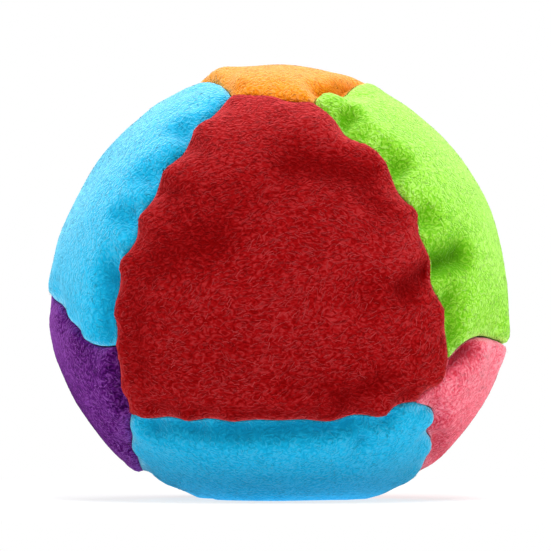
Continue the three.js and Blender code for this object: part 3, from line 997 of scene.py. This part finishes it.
def suede_group():
    """Shader group: curled streaks of nap that clump, rubbed lighter and darker in patches, with painted
    shade in the hollows and painted light on ridges.
    """
    name = "suede nap"
    if name in bpy.data.node_groups:
        return bpy.data.node_groups[name]
    inputs = {
        "Shade": "colour", "Base": "colour", "Tip": "colour", "Streaks": "float", "Squeeze": "vector",
    }
    outputs = {"Colour": "colour", "Height": "float"}
    nodes, given, out = new_group(name, "ShaderNodeTree", inputs, outputs)
    place = nodes.add("ShaderNodeTexCoord").outputs["Object"]
    combed = nodes.vector("MULTIPLY", place, given["Squeeze"])

    def curled(offset, scale):
        """One set of streaks, from -1 to 1."""
        moved = nodes.vector("ADD", combed, offset)
        curl = nodes.noise(moved, nodes.math("MULTIPLY", scale, CURL_SCALE))["Color"]
        curl = nodes.vector("SUBTRACT", curl, (NOISE_MEAN, NOISE_MEAN, NOISE_MEAN))
        pushed = nodes.vector("ADD", moved, nodes.vector("SCALE", curl, scale=CURL_PUSH))
        level = nodes.noise(pushed, scale)["Fac"]
        return nodes.math("SINE", nodes.math("MULTIPLY", level, STREAK_TURNS))

    first = curled((0, 0, 0), given["Streaks"])
    second = curled(SECOND_PLACE, nodes.math("MULTIPLY", given["Streaks"], SECOND_SCALE))
    # The mean of both is brought to the range from 0 to 1.
    streaks = nodes.math("MULTIPLY_ADD", nodes.math("ADD", first, second), 0.25, 0.5)
    clumps = nodes.noise(place, CLUMP_SCALE, 1.0)["Fac"]
    patches = nodes.noise(place, PATCH_SCALE, 2.0)["Fac"]
    pressed = nodes.noted("pressed")
    level = nodes.math("MULTIPLY_ADD", clumps, CLUMP_TONE, streaks)
    level = nodes.math("MULTIPLY_ADD", patches, PATCH_TONE, level)
    # Painted shade: a hollow lowers the tone, and a ridge raises it.
    level = nodes.math("MULTIPLY_ADD", pressed, SHADED_HOLLOW_TONE, level)
    # The darker half of the tones goes from the shade to the base, the lighter half on to the tip.
    lower = nodes.math("MULTIPLY", nodes.ranged(level, TONES), 2.0)
    upper = nodes.math("SUBTRACT", lower, 1.0)
    colour = nodes.mix(lower, given["Shade"], given["Base"])
    colour = nodes.mix(upper, colour, given["Tip"])
    # Painted shade: the colour goes towards black by the hollow's depth.
    colour = nodes.mix(nodes.ranged(pressed, HOLLOW_SHADE), colour, BLACK)
    nodes.feed(out["Colour"], colour)
    nodes.feed(out["Height"], nodes.math("MULTIPLY_ADD", clumps, CLUMP_HEIGHT, streaks))
    return nodes.tree


def painted_light_group():
    """Shader group: the mask of a painted highlight, most near the top of the bag as if lit from above
    and on folded edges, left out of hollows; and the hollows' depth, for painted shade.
    """
    name = "brushed nap"
    if name in bpy.data.node_groups:
        return bpy.data.node_groups[name]
    outputs = {"Mask": "float", "Pressed": "float"}
    inputs = {"From height": "float", "To height": "float"}
    nodes, given, out = new_group(name, "ShaderNodeTree", inputs, outputs)
    place = nodes.add("ShaderNodeTexCoord").outputs["Object"]
    height = nodes.add("ShaderNodeSeparateXYZ", {"Vector": place}).outputs["Z"]
    heights = {"From Min": given["From height"], "From Max": given["To height"]}
    # Painted highlight, stronger higher up on the bag, as if lit from above.
    top_lit = nodes.ranged(height, heights, interpolation_type="SMOOTHSTEP")
    pressed = nodes.noted("pressed")
    out_of_hollows = nodes.ranged(pressed, {"To Min": 1.0, "To Max": 0.0})
    # Folded edges get the painted highlight too, and hollows lose it.
    brushed = nodes.math("MAXIMUM", top_lit, nodes.noted("edge"))
    nodes.feed(out["Mask"], nodes.math("MULTIPLY", brushed, out_of_hollows))
    nodes.feed(out["Pressed"], pressed)
    return nodes.tree


def new_material(name):
    """A material with nothing in it but a Principled shader and its output."""
    material = bpy.data.materials.new(name)
    material.use_nodes = True
    nodes = Nodes(material.node_tree)
    shader = material.node_tree.nodes["Principled BSDF"]
    return material, nodes, shader


def scaled(colour, factor):
    """A colour made lighter or darker, with its alpha."""
    return (*[min(1, c * factor) for c in colour], 1)


def colour_word(name):
    """The colour that a panel's name starts with."""
    return name.split("_")[0]


def nap_kind(name):
    """The kind of nap that a panel has."""
    return COMBED if colour_word(name) == "red" else SWIRLED


def towards_rim(name, colour, rim, times):
    """The colour of a panel's lightest nap, or of fibres some times lighter yet."""
    share = min(1, times * NAP_CONTRAST[colour_word(name)])
    return (*[a + share * (b - a) for a, b in zip(colour, rim)], 1)


def painted_light_masks(nodes, name):
    """The outputs of the painted light's group, set for a panel: the highlight's mask and the hollows'
    depth.
    """
    group = nodes.add("ShaderNodeGroup", node_tree=painted_light_group())
    low, high = TOP_HIGHLIGHT_HEIGHTS[colour_word(name)]
    group.inputs["From height"].default_value = low * MM
    group.inputs["To height"].default_value = high * MM
    return group.outputs


def set_suede(nodes, shader, colour, rim, normal, brushed):
    """Gives a shader a soft sheen, and paints the rim's colour, a painted sheen, where the highlight's
    mask says and the nap is seen edge on.
    """
    weight = nodes.add("ShaderNodeLayerWeight", {"Blend": EDGE_BLEND, "Normal": normal})
    edge_on = weight.outputs["Facing"]
    share = nodes.math("MULTIPLY", nodes.math("MULTIPLY", edge_on, edge_on), brushed)
    nodes.feed(shader.inputs["Base Color"], nodes.mix(share, colour, (*rim, 1)))
    nodes.feed(shader.inputs["Normal"], normal)
    shader.inputs["Specular IOR Level"].default_value = 0.0
    shader.inputs["Sheen Weight"].default_value = SHEEN
    shader.inputs["Sheen Roughness"].default_value = SHEEN_ROUGHNESS
    shader.inputs["Sheen Tint"].default_value = (*rim, 1)


def suede_material(name, colour, rim):
    """Napped suede of one colour, with a painted sheen where the nap is seen edge on near the top and on
    folded edges, and painted shade in hollows.
    """
    material, nodes, shader = new_material(name)
    nap = nodes.add("ShaderNodeGroup", node_tree=suede_group())
    kind = nap_kind(name)
    darker = 1 + NAP_CONTRAST[colour_word(name)]
    nap.inputs["Shade"].default_value = (*[SUEDE_SHADE * c**darker for c in colour], 1)
    nap.inputs["Base"].default_value = (*colour, 1)
    nap.inputs["Tip"].default_value = towards_rim(name, colour, rim, 1)
    nap.inputs["Streaks"].default_value = kind["streaks"]
    nap.inputs["Squeeze"].default_value = (1, 1, kind["squeeze"])
    relief = {"Height": nap.outputs["Height"], "Distance": SUEDE_RELIEF, "Strength": RELIEF_STRENGTH}
    bump = nodes.add("ShaderNodeBump", relief)
    set_suede(nodes, shader, nap.outputs["Colour"], rim, bump, painted_light_masks(nodes, name)["Mask"])
    shader.inputs["Roughness"].default_value = SUEDE_ROUGHNESS
    return material


def fibre_material(name, colour, rim):
    """Tufts of the same suede, each a little lighter or darker, lit as the cloth under them is, with the
    same painted sheen and painted shade in hollows.
    """
    material, nodes, shader = new_material(name)
    cloth = nodes.add("ShaderNodeAttribute", attribute_name="cloth_normal").outputs["Vector"]
    light = towards_rim(name, colour, rim, TUFT_LIGHT)
    dark = scaled(colour, nap_kind(name)["dark"])
    brushed = painted_light_masks(nodes, name)
    # Painted shade: tufts darken by the depth of the hollow they stand in, and lighten on a ridge.
    tone = nodes.math("SUBTRACT", nodes.noted("tone"), brushed["Pressed"])
    set_suede(nodes, shader, nodes.mix(tone, dark, light), rim, cloth, brushed["Mask"])
    shader.inputs["Roughness"].default_value = TUFT_ROUGHNESS
    return material


def twisted_thread_material(colour):
    """Waxed sewing thread with a fine twist."""
    material, nodes, shader = new_material("sewing thread")
    place = nodes.add("ShaderNodeTexCoord").outputs["Object"]
    twist = nodes.noise(place, TWIST_SCALE, 1.0)["Fac"]
    light = (*[c + (1 - c) * TWIST_LIGHT for c in colour], 1)
    nodes.feed(shader.inputs["Base Color"], nodes.mix(twist, (*colour, 1), light))
    bump = nodes.add("ShaderNodeBump", {"Height": twist, "Distance": TWIST_RELIEF})
    nodes.feed(shader.inputs["Normal"], bump)
    shader.inputs["Roughness"].default_value = THREAD_ROUGHNESS
    return material


def pellet_material(colour):
    """Dull moulded plastic, a little uneven from pellet to pellet."""
    material, nodes, shader = new_material("pellets")
    place = nodes.add("ShaderNodeTexCoord").outputs["Object"]
    uneven = nodes.noise(place, UNEVEN_SCALE, 2.0)["Fac"]
    dark = scaled(colour, UNEVEN_DARK)
    nodes.feed(shader.inputs["Base Color"], nodes.mix(uneven, dark, (*colour, 1)))
    grain = nodes.noise(place, GRAIN_SCALE, 2.0)["Fac"]
    nodes.feed(shader.inputs["Roughness"], nodes.math("MULTIPLY_ADD", grain, *GRAIN_ROUGHNESS))
    return material


def grown(source, tree, values):
    """Runs a Geometry Nodes tree on an object, and leaves the result as its plain mesh."""
    modifier = source.modifiers.new("grow", "NODES")
    modifier.node_group = tree
    items = tree.interface.items_tree
    sockets = {item.name: item.identifier for item in items if item.in_out == "INPUT"}
    for name, value in values.items():
        modifier[sockets[name]] = value
    bpy.context.view_layer.update()
    evaluated = source.evaluated_get(bpy.context.evaluated_depsgraph_get())
    mesh = bpy.data.meshes.new_from_object(evaluated)
    source.modifiers.remove(modifier)
    old = source.data
    source.data = mesh
    bpy.data.meshes.remove(old)
    mesh.name = source.name
    return source


def nap_tree():
    """Geometry Nodes: curled tufts scattered over a panel where its attribute nap says."""
    name = "nap"
    if name in bpy.data.node_groups:
        return bpy.data.node_groups[name]
    inputs = {
        "Geometry": "geometry", "Per square metre": "float", "Length": "float", "Width": "float",
        "Lift": "float", "Swirl": "float", "Stray": "float", "Seed": "int", "Material": "material",
    }
    nodes, given, out = new_group(name, "GeometryNodeTree", inputs, {"Geometry": "geometry"})
    room = nodes.add("GeometryNodeInputNamedAttribute", {"Name": "nap"}, data_type="FLOAT")
    density = nodes.math("MULTIPLY", room.outputs["Attribute"], given["Per square metre"])
    scattered = nodes.add(
        "GeometryNodeDistributePointsOnFaces",
        {"Mesh": given["Geometry"], "Density": density, "Seed": given["Seed"]},
    )
    round_section = nodes.add(
        "GeometryNodeCurvePrimitiveCircle", {"Resolution": 3, "Radius": given["Width"]}
    )
    kinds = nodes.add("GeometryNodeGeometryToInstance")
    length = given["Length"]
    size = nodes.add("ShaderNodeCombineXYZ", {"X": length, "Y": length, "Z": given["Lift"]})
    for aside, tip in TUFT_BENDS:
        bend = nodes.add(
            "GeometryNodeCurveQuadraticBezier",
            {
                "Resolution": 3,
                "Start": (0, 0, 0),
                "Middle": nodes.vector("MULTIPLY", (0.5, aside, TUFT_RISE), size),
                "End": nodes.vector("MULTIPLY", (1.0, tip, TUFT_TIP), size),
            },
        )
        taper = nodes.add("GeometryNodeSplineParameter").outputs["Factor"]
        thick = nodes.math("MULTIPLY_ADD", nodes.math("MULTIPLY", taper, taper), TUFT_TAPER, 1.0)
        curve = nodes.add("GeometryNodeSetCurveRadius", {"Curve": bend, "Radius": thick})
        tuft = nodes.add(
            "GeometryNodeCurveToMesh",
            {"Curve": curve, "Profile Curve": round_section, "Fill Caps": True},
        )
        flat_tuft = nodes.add("GeometryNodeTransform", {"Geometry": tuft, "Scale": (1, 1, TUFT_FLAT)})
        nodes.tree.links.new(flat_tuft.outputs[0], kinds.inputs[0])
    field = nodes.add("ShaderNodeTexNoise", {"Scale": COMBING_SCALE, "Detail": 1.0}).outputs["Fac"]
    swirl = nodes.math("MULTIPLY", nodes.math("SUBTRACT", field, NOISE_MEAN), given["Swirl"])
    stray = nodes.drawn(nodes.math("MULTIPLY", given["Stray"], -1.0), given["Stray"], given["Seed"])
    spin = nodes.add("ShaderNodeCombineXYZ", {"Z": nodes.math("ADD", swirl, stray)})
    rotation = nodes.add(
        "FunctionNodeRotateRotation",
        {"Rotation": scattered.outputs["Rotation"], "Rotate By": spin.outputs[0]},
        rotation_space="LOCAL",
    )
    kinds_drawn = {4: 0, 5: len(TUFT_BENDS) - 1}
    kind = nodes.add("FunctionNodeRandomValue", kinds_drawn, data_type="INT")
    planted = nodes.add(
        "GeometryNodeInstanceOnPoints",
        {
            "Points": scattered.outputs["Points"],
            "Instance": kinds,
            "Pick Instance": True,
            "Instance Index": kind.outputs[2],
            "Rotation": rotation,
            "Scale": nodes.drawn(*TUFT_SIZES),
        },
    )
    toned = nodes.add(
        "GeometryNodeStoreNamedAttribute",
        {"Geometry": planted, "Name": "tone", "Value": nodes.drawn(seed=TUFT_TONE_SEED)},
        data_type="FLOAT",
        domain="INSTANCE",
    )
    faced = nodes.add(
        "GeometryNodeStoreNamedAttribute",
        {"Geometry": toned, "Name": "cloth_normal", "Value": scattered.outputs["Normal"]},
        data_type="FLOAT_VECTOR",
        domain="INSTANCE",
    )
    nodes.end(faced, given, out)
    return nodes.tree


def stitch_tree():
    """Geometry Nodes: one thread wound round the folded edges along a seam, knotted at both ends."""
    name = "whipstitch"
    if name in bpy.data.node_groups:
        return bpy.data.node_groups[name]
    inputs = {
        "Geometry": "geometry", "Ball middle": "vector", "Stitches": "int", "Half width": "float",
        "Half depth": "float", "Depth": "float", "Thread": "float", "Material": "material",
    }
    nodes, given, out = new_group(name, "GeometryNodeTree", inputs, {"Geometry": "geometry"})
    curve = nodes.add("GeometryNodeMeshToCurve", {"Mesh": given["Geometry"]})
    steps = nodes.math("MULTIPLY_ADD", given["Stitches"], STITCH_STEPS, 1.0)
    even = nodes.add("GeometryNodeResampleCurve", {"Curve": curve, "Count": steps})
    turns = nodes.math("MULTIPLY", given["Stitches"], 2 * math.pi)
    phase = nodes.math("MULTIPLY", nodes.add("GeometryNodeSplineParameter").outputs["Factor"], turns)
    place = nodes.add("GeometryNodeInputPosition").outputs[0]
    out_way = nodes.vector("NORMALIZE", nodes.vector("SUBTRACT", place, given["Ball middle"]))
    tangent = nodes.add("GeometryNodeInputTangent").outputs[0]
    side = nodes.vector("NORMALIZE", nodes.vector("CROSS_PRODUCT", tangent, out_way))
    sideways = nodes.math("MULTIPLY", nodes.math("SINE", phase), given["Half width"])
    rise = nodes.math("MULTIPLY", nodes.math("COSINE", phase), given["Half depth"])
    height = nodes.math("SUBTRACT", nodes.math("MULTIPLY", rise, -1.0), given["Depth"])
    offset = nodes.vector(
        "ADD", nodes.vector("SCALE", out_way, scale=height), nodes.vector("SCALE", side, scale=sideways)
    )
    wound = nodes.add("GeometryNodeSetPosition", {"Geometry": even, "Offset": offset})
    radius = nodes.math("MULTIPLY", given["Thread"], 0.5)
    section = nodes.add("GeometryNodeCurvePrimitiveCircle", {"Resolution": 6, "Radius": radius})
    thread = nodes.add(
        "GeometryNodeCurveToMesh", {"Curve": wound, "Profile Curve": section, "Fill Caps": True}
    )
    knot = nodes.add("GeometryNodeMeshIcoSphere", {"Radius": given["Thread"], "Subdivisions": 2})
    ends = nodes.add("GeometryNodeCurveEndpointSelection").outputs[0]
    knots = nodes.add(
        "GeometryNodeInstanceOnPoints", {"Points": wound, "Selection": ends, "Instance": knot}
    )
    joined = nodes.add("GeometryNodeJoinGeometry")
    nodes.tree.links.new(thread.outputs[0], joined.inputs[0])
    nodes.tree.links.new(knots.outputs[0], joined.inputs[0])
    nodes.end(joined, given, out)
    return nodes.tree


def pellet_tree():
    """Geometry Nodes: a flattened pellet, turned at random, at each point."""
    name = "pellets"
    if name in bpy.data.node_groups:
        return bpy.data.node_groups[name]
    inputs = {"Geometry": "geometry", "Diameter": "float", "Material": "material"}
    nodes, given, out = new_group(name, "GeometryNodeTree", inputs, {"Geometry": "geometry"})
    radius = nodes.math("MULTIPLY", given["Diameter"], 0.5)
    ball = nodes.add("GeometryNodeMeshIcoSphere", {"Radius": radius, "Subdivisions": 2})
    flat = nodes.add("GeometryNodeTransform", {"Geometry": ball, "Scale": (1, 1, PELLET_FLAT)})
    smooth = nodes.add("GeometryNodeSetShadeSmooth", {"Geometry": flat})
    full_turns = {1: (2 * math.pi, 2 * math.pi, 2 * math.pi)}
    poured = nodes.add(
        "GeometryNodeInstanceOnPoints",
        {
            "Points": given["Geometry"],
            "Instance": smooth,
            "Rotation": nodes.add("FunctionNodeRandomValue", full_turns, data_type="FLOAT_VECTOR"),
            "Scale": nodes.drawn(*PELLET_SIZES),
        },
    )
    nodes.end(poured, given, out)
    return nodes.tree


def panel_colours(colours, name):
    """The colours of a panel, seen square on and edge on, by the first word of its name."""
    word = colour_word(name)
    return list(getattr(colours, word)), list(getattr(colours, word + "_rim"))


class FOOTBAG_OT_sew_cover(bpy.types.Operator):
    """Makes the eight suede panels, with their turned-in edges, and the nap on them"""

    bl_idname = "footbag.sew_cover"
    bl_label = "Sew cover"

    def execute(self, context):
        scene = context.scene
        shape, nap, colours = scene.footbag_shape, scene.footbag_nap, scene.footbag_colours
        cover = Cover(shape)
        cover.points = gathered(cover, scene.footbag_cloth)
        for number, name in enumerate(PANELS):
            pair = panel_colours(colours, name)
            panel = self.panel(cover, name, pair, nap.length)
            fibres = self.fibres(panel, name, number, nap, pair)
            self.declare(cover, name, panel, fibres)
        return {"FINISHED"}

    def panel(self, cover, name, pair, ground):
        """One panel, which holds where nap grows, how deep it is pressed in and where it is folded, for
        the materials' painted shade and painted highlight.
        """
        points, faces, crown_points = panel_shell(cover, name)
        panel = new_object(name + "_suede", points, faces)
        room = np.where(points[:, 2] > ground, 1.0, 0.0)
        room[:len(cover.rims[name])] = 0
        room[crown_points:] = 0
        # In a hollow the materials paint shade, and on a ridge light.
        pressed = np.zeros(len(points))
        pressed[:crown_points] = cover.pressed[cover.ids[name]] / MM
        # Near a folded edge the materials paint a highlight.
        edge = np.zeros(len(points))
        edge[:crown_points] = np.exp(-((cover.gaps[cover.ids[name]] / EDGE_HIGHLIGHT_REACH) ** 2))
        for label, values in {"nap": room, "pressed": pressed, "edge": edge}.items():
            panel.data.attributes.new(label, "FLOAT", "POINT").data.foreach_set("value", values)
        panel.data.materials.append(suede_material(name + " suede", *pair))
        return panel

    def fibres(self, panel, name, number, nap, pair):
        """The nap of one panel."""
        kind = nap_kind(name)
        size = kind["size"]
        fibres = bpy.data.objects.new(name + "_nap", panel.data.copy())
        bpy.context.scene.collection.objects.link(fibres)
        values = {
            "Per square metre": nap.per_square_mm * size / MM**2,
            "Length": nap.length * size,
            "Width": nap.width * size / 2,
            "Lift": nap.lift * size,
            "Swirl": kind["swirl"],
            "Stray": kind["stray"],
            "Seed": number,
            "Material": fibre_material(name + " nap", *pair),
        }
        return grown(fibres, nap_tree(), values)

    def declare(self, cover, name, panel, fibres):
        """Hangs a panel and its nap on the root body and hides the part that they replace; the panel's
        laid-flat outline is fetched but not used.
        """
        for piece in (panel, fibres):
            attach(piece, "root")
        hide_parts(name + "_panel")
        flat = cover.flats[name]
        turned = np.roll(flat, -1, axis=0)


class FOOTBAG_OT_stitch_seams(bpy.types.Operator):
    """Winds a thread round the folded edges of each seam"""

    bl_idname = "footbag.stitch_seams"
    bl_label = "Stitch seams"

    def execute(self, context):
        scene = context.scene
        shape = scene.footbag_shape
        ball = Ball(shape)
        material = twisted_thread_material(list(scene.footbag_colours.thread))
        for seam, _, _ in sewn_seams(shape, ball)[1]:
            line = ball.places(seam.line[1:-1], -seam_depth(shape, ball, seam.line[1:-1]))
            first, second = seam.panels
            mesh = bpy.data.meshes.new("seam")
            mesh.from_pydata(line.tolist(), [(i, i + 1) for i in range(len(line) - 1)], [])
            thread = bpy.data.objects.new(f"stitches_{first}_to_{second}", mesh)
            scene.collection.objects.link(thread)
            length = np.linalg.norm(np.diff(line, axis=0), axis=1).sum()
            values = {
                "Ball middle": ball.middle.tolist(),
                "Stitches": max(2, round(length / shape.stitch_pitch)),
                "Half width": shape.suede + shape.seam_gap / 2 + shape.thread / 2,
                "Half depth": STITCH_HALF_DEPTH,
                "Depth": shape.allowance - STITCH_RAISED,
                "Thread": shape.thread,
                "Material": material,
            }
            grown(thread, stitch_tree(), values)
            thread.data.shade_smooth()
            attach(thread, "root")
            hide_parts(f"thread_{first}_to_{second}")
        return {"FINISHED"}


class FOOTBAG_OT_pour_pellets(bpy.types.Operator):
    """Fills the bag with loose pellets"""

    bl_idname = "footbag.pour_pellets"
    bl_label = "Pour pellets"

    def execute(self, context):
        scene = context.scene
        shape = scene.footbag_shape
        ball = Ball(shape)
        step = shape.pellet * PELLET_STEP
        draw = random.Random(PELLET_SEED)
        layers = range(int(2 * ball.crown / (step * math.sqrt(2 / 3))))
        rows = range(-PELLET_ROWS, PELLET_ROWS + 1)
        places = []
        for k, j, i in itertools.product(layers, rows, rows):
            place = np.array([
                (i + (j + k) % 2 / 2) * step,
                (j + k % 2 / 3) * step * math.sqrt(3) / 2,
                k * step * math.sqrt(2 / 3),
            ])
            jitter = [draw.uniform(-PELLET_JITTER, PELLET_JITTER) * step for _ in range(3)]
            places.append(place + jitter)
        places = np.array(places)
        out = (places - ball.middle) / np.array([ball.half, ball.half, 1])
        tall = np.where(out[:, 2] > 0, ball.crown, ball.belly)
        out[:, 2] /= tall
        size = np.maximum(np.linalg.norm(out, axis=1), TINY)
        room = shape.allowance + shape.thread + shape.pellet / 2
        walls = np.linalg.norm(ball.places(out / size[:, None], 0.0) - ball.middle, axis=1)
        fits = np.linalg.norm(places - ball.middle, axis=1) < walls - room
        pellets = new_object("pellets", places[fits], [])
        material = pellet_material(list(scene.footbag_colours.pellet))
        grown(pellets, pellet_tree(), {"Diameter": shape.pellet, "Material": material})
        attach(pellets, "root")
        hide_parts("pellet_fill")
        return {"FINISHED"}


def seen_rays(nodes):
    """1 for rays from the camera, also mirrored or through something clear, and 0 for others."""
    path = nodes.add("ShaderNodeLightPath").outputs
    seen = nodes.math("MAXIMUM", path["Is Camera Ray"], path["Is Glossy Ray"])
    return nodes.math("MAXIMUM", seen, path["Is Transmission Ray"])


class FOOTBAG_OT_set_stage(bpy.types.Operator):
    """Sets up the pale floor, the soft lights and the camera at the photograph's angle"""

    bl_idname = "footbag.set_stage"
    bl_label = "Set stage"

    def execute(self, context):
        scene = context.scene
        self.floor()
        self.world(scene)
        for name, setting in LAMPS.items():
            self.lamp(name, *setting)
        self.camera(scene)
        scene.view_settings.view_transform = "Standard"
        return {"FINISHED"}

    def floor(self):
        """A pale floor that fades into the backdrop."""
        material, nodes, shader = new_material("pale floor")
        shader.inputs["Base Color"].default_value = FLOOR_COLOUR
        shader.inputs["Roughness"].default_value = FLOOR_ROUGHNESS
        shader.inputs["Emission Color"].default_value = WHITE
        glow = nodes.add("ShaderNodeEmission", {"Color": WHITE, "Strength": 1.0})
        seen = seen_rays(nodes)
        place = nodes.add("ShaderNodeTexCoord").outputs["Object"]
        away = nodes.add("ShaderNodeVectorMath", {0: place}, operation="LENGTH").outputs["Value"]
        faded = nodes.math("MULTIPLY", seen, nodes.ranged(away, FLOOR_FADE))
        under = nodes.ranged(away, UNDER_GLOW)
        unseen = nodes.math("MULTIPLY", under, nodes.math("SUBTRACT", 1.0, seen))
        nodes.feed(shader.inputs["Emission Strength"], nodes.math("ADD", unseen, FLOOR_GLOW))
        mixed = nodes.add("ShaderNodeMixShader", {0: faded, 1: shader, 2: glow})
        output = nodes.tree.nodes["Material Output"]
        nodes.tree.links.new(mixed.outputs[0], output.inputs["Surface"])
        signs = ((-1, -1), (1, -1), (1, 1), (-1, 1))
        corners = [(x * FLOOR_HALF, y * FLOOR_HALF, 0) for x, y in signs]
        floor = new_object("floor", corners, [(0, 1, 2, 3)])
        floor.data.materials.append(material)

    def world(self, scene):
        """A backdrop that is white where it is seen, and a weak light elsewhere."""
        world = bpy.data.worlds.new("studio")
        scene.world = world
        world.use_nodes = True
        nodes = Nodes(world.node_tree)
        background = world.node_tree.nodes["Background"]
        background.inputs["Color"].default_value = WHITE
        strength = nodes.math("MULTIPLY_ADD", seen_rays(nodes), 1 - WORLD_LIGHT, WORLD_LIGHT)
        nodes.feed(background.inputs["Strength"], strength)

    def lamp(self, name, place, size, power):
        """A round lamp that shines at the bag."""
        light = bpy.data.lights.new(name, "AREA")
        light.shape = "DISK"
        light.size = size
        light.energy = power
        lamp = bpy.data.objects.new(name, light)
        lamp.location = place
        aim = LAMP_AIM - Vector(place)
        lamp.rotation_euler = aim.to_track_quat("-Z", "Y").to_euler()
        bpy.context.scene.collection.objects.link(lamp)

    def camera(self, scene):
        """A camera that sees the bag as large and in the same place as the photograph shows it."""
        pixel = scene.footbag_shape.bag_width / BAG_PIXELS
        middle = PHOTO_PIXELS / 2
        data = bpy.data.cameras.new("camera")
        data.lens = data.sensor_width * CAMERA_AWAY / (PHOTO_PIXELS * pixel)
        data.clip_start = CLIP_START
        camera = bpy.data.objects.new("camera", data)
        right, up = (middle - BAG_MIDDLE_PX) * pixel, (BAG_FOOT_PX - middle) * pixel
        camera.location = (right, -CAMERA_AWAY, up)
        camera.rotation_euler = (math.pi / 2, 0, 0)
        scene.collection.objects.link(camera)
        scene.camera = camera


class FOOTBAG_PT_bench(bpy.types.Panel):
    """Lists the steps and sizes of the footbag in the 3D view's sidebar"""

    bl_idname = "FOOTBAG_PT_bench"
    bl_label = "Footbag"
    bl_space_type = "VIEW_3D"
    bl_region_type = "UI"
    bl_category = "Footbag"

    def draw(self, context):
        layout = self.layout
        for operator in OPERATORS:
            layout.operator(operator.bl_idname)
        scene = context.scene
        groups = scene.footbag_shape, scene.footbag_cloth, scene.footbag_nap, scene.footbag_colours
        for group in groups:
            column = layout.column(align=True)
            for key in group.__annotations__:
                column.prop(group, key)


OPERATORS = (
    FOOTBAG_OT_pour_pellets,
    FOOTBAG_OT_sew_cover,
    FOOTBAG_OT_stitch_seams,
    FOOTBAG_OT_set_stage,
)
CLASSES = (FootbagShape, FootbagCloth, FootbagNap, FootbagColours, *OPERATORS, FOOTBAG_PT_bench)


def register():
    """Adds the classes, and the settings that each scene holds."""
    for one in CLASSES:
        bpy.utils.register_class(one)
    bpy.types.Scene.footbag_shape = bpy.props.PointerProperty(type=FootbagShape)
    bpy.types.Scene.footbag_cloth = bpy.props.PointerProperty(type=FootbagCloth)
    bpy.types.Scene.footbag_nap = bpy.props.PointerProperty(type=FootbagNap)
    bpy.types.Scene.footbag_colours = bpy.props.PointerProperty(type=FootbagColours)


def unregister():
    """Takes the classes and settings away again."""
    del bpy.types.Scene.footbag_shape
    del bpy.types.Scene.footbag_cloth
    del bpy.types.Scene.footbag_nap
    del bpy.types.Scene.footbag_colours
    for one in reversed(CLASSES):
        bpy.utils.unregister_class(one)


def main():
    """Builds the footbag and its stage."""
    register()
    bpy.ops.footbag.pour_pellets()
    bpy.ops.footbag.sew_cover()
    bpy.ops.footbag.stitch_seams()
    bpy.ops.footbag.set_stage()


if __name__ == "__main__":
    main()
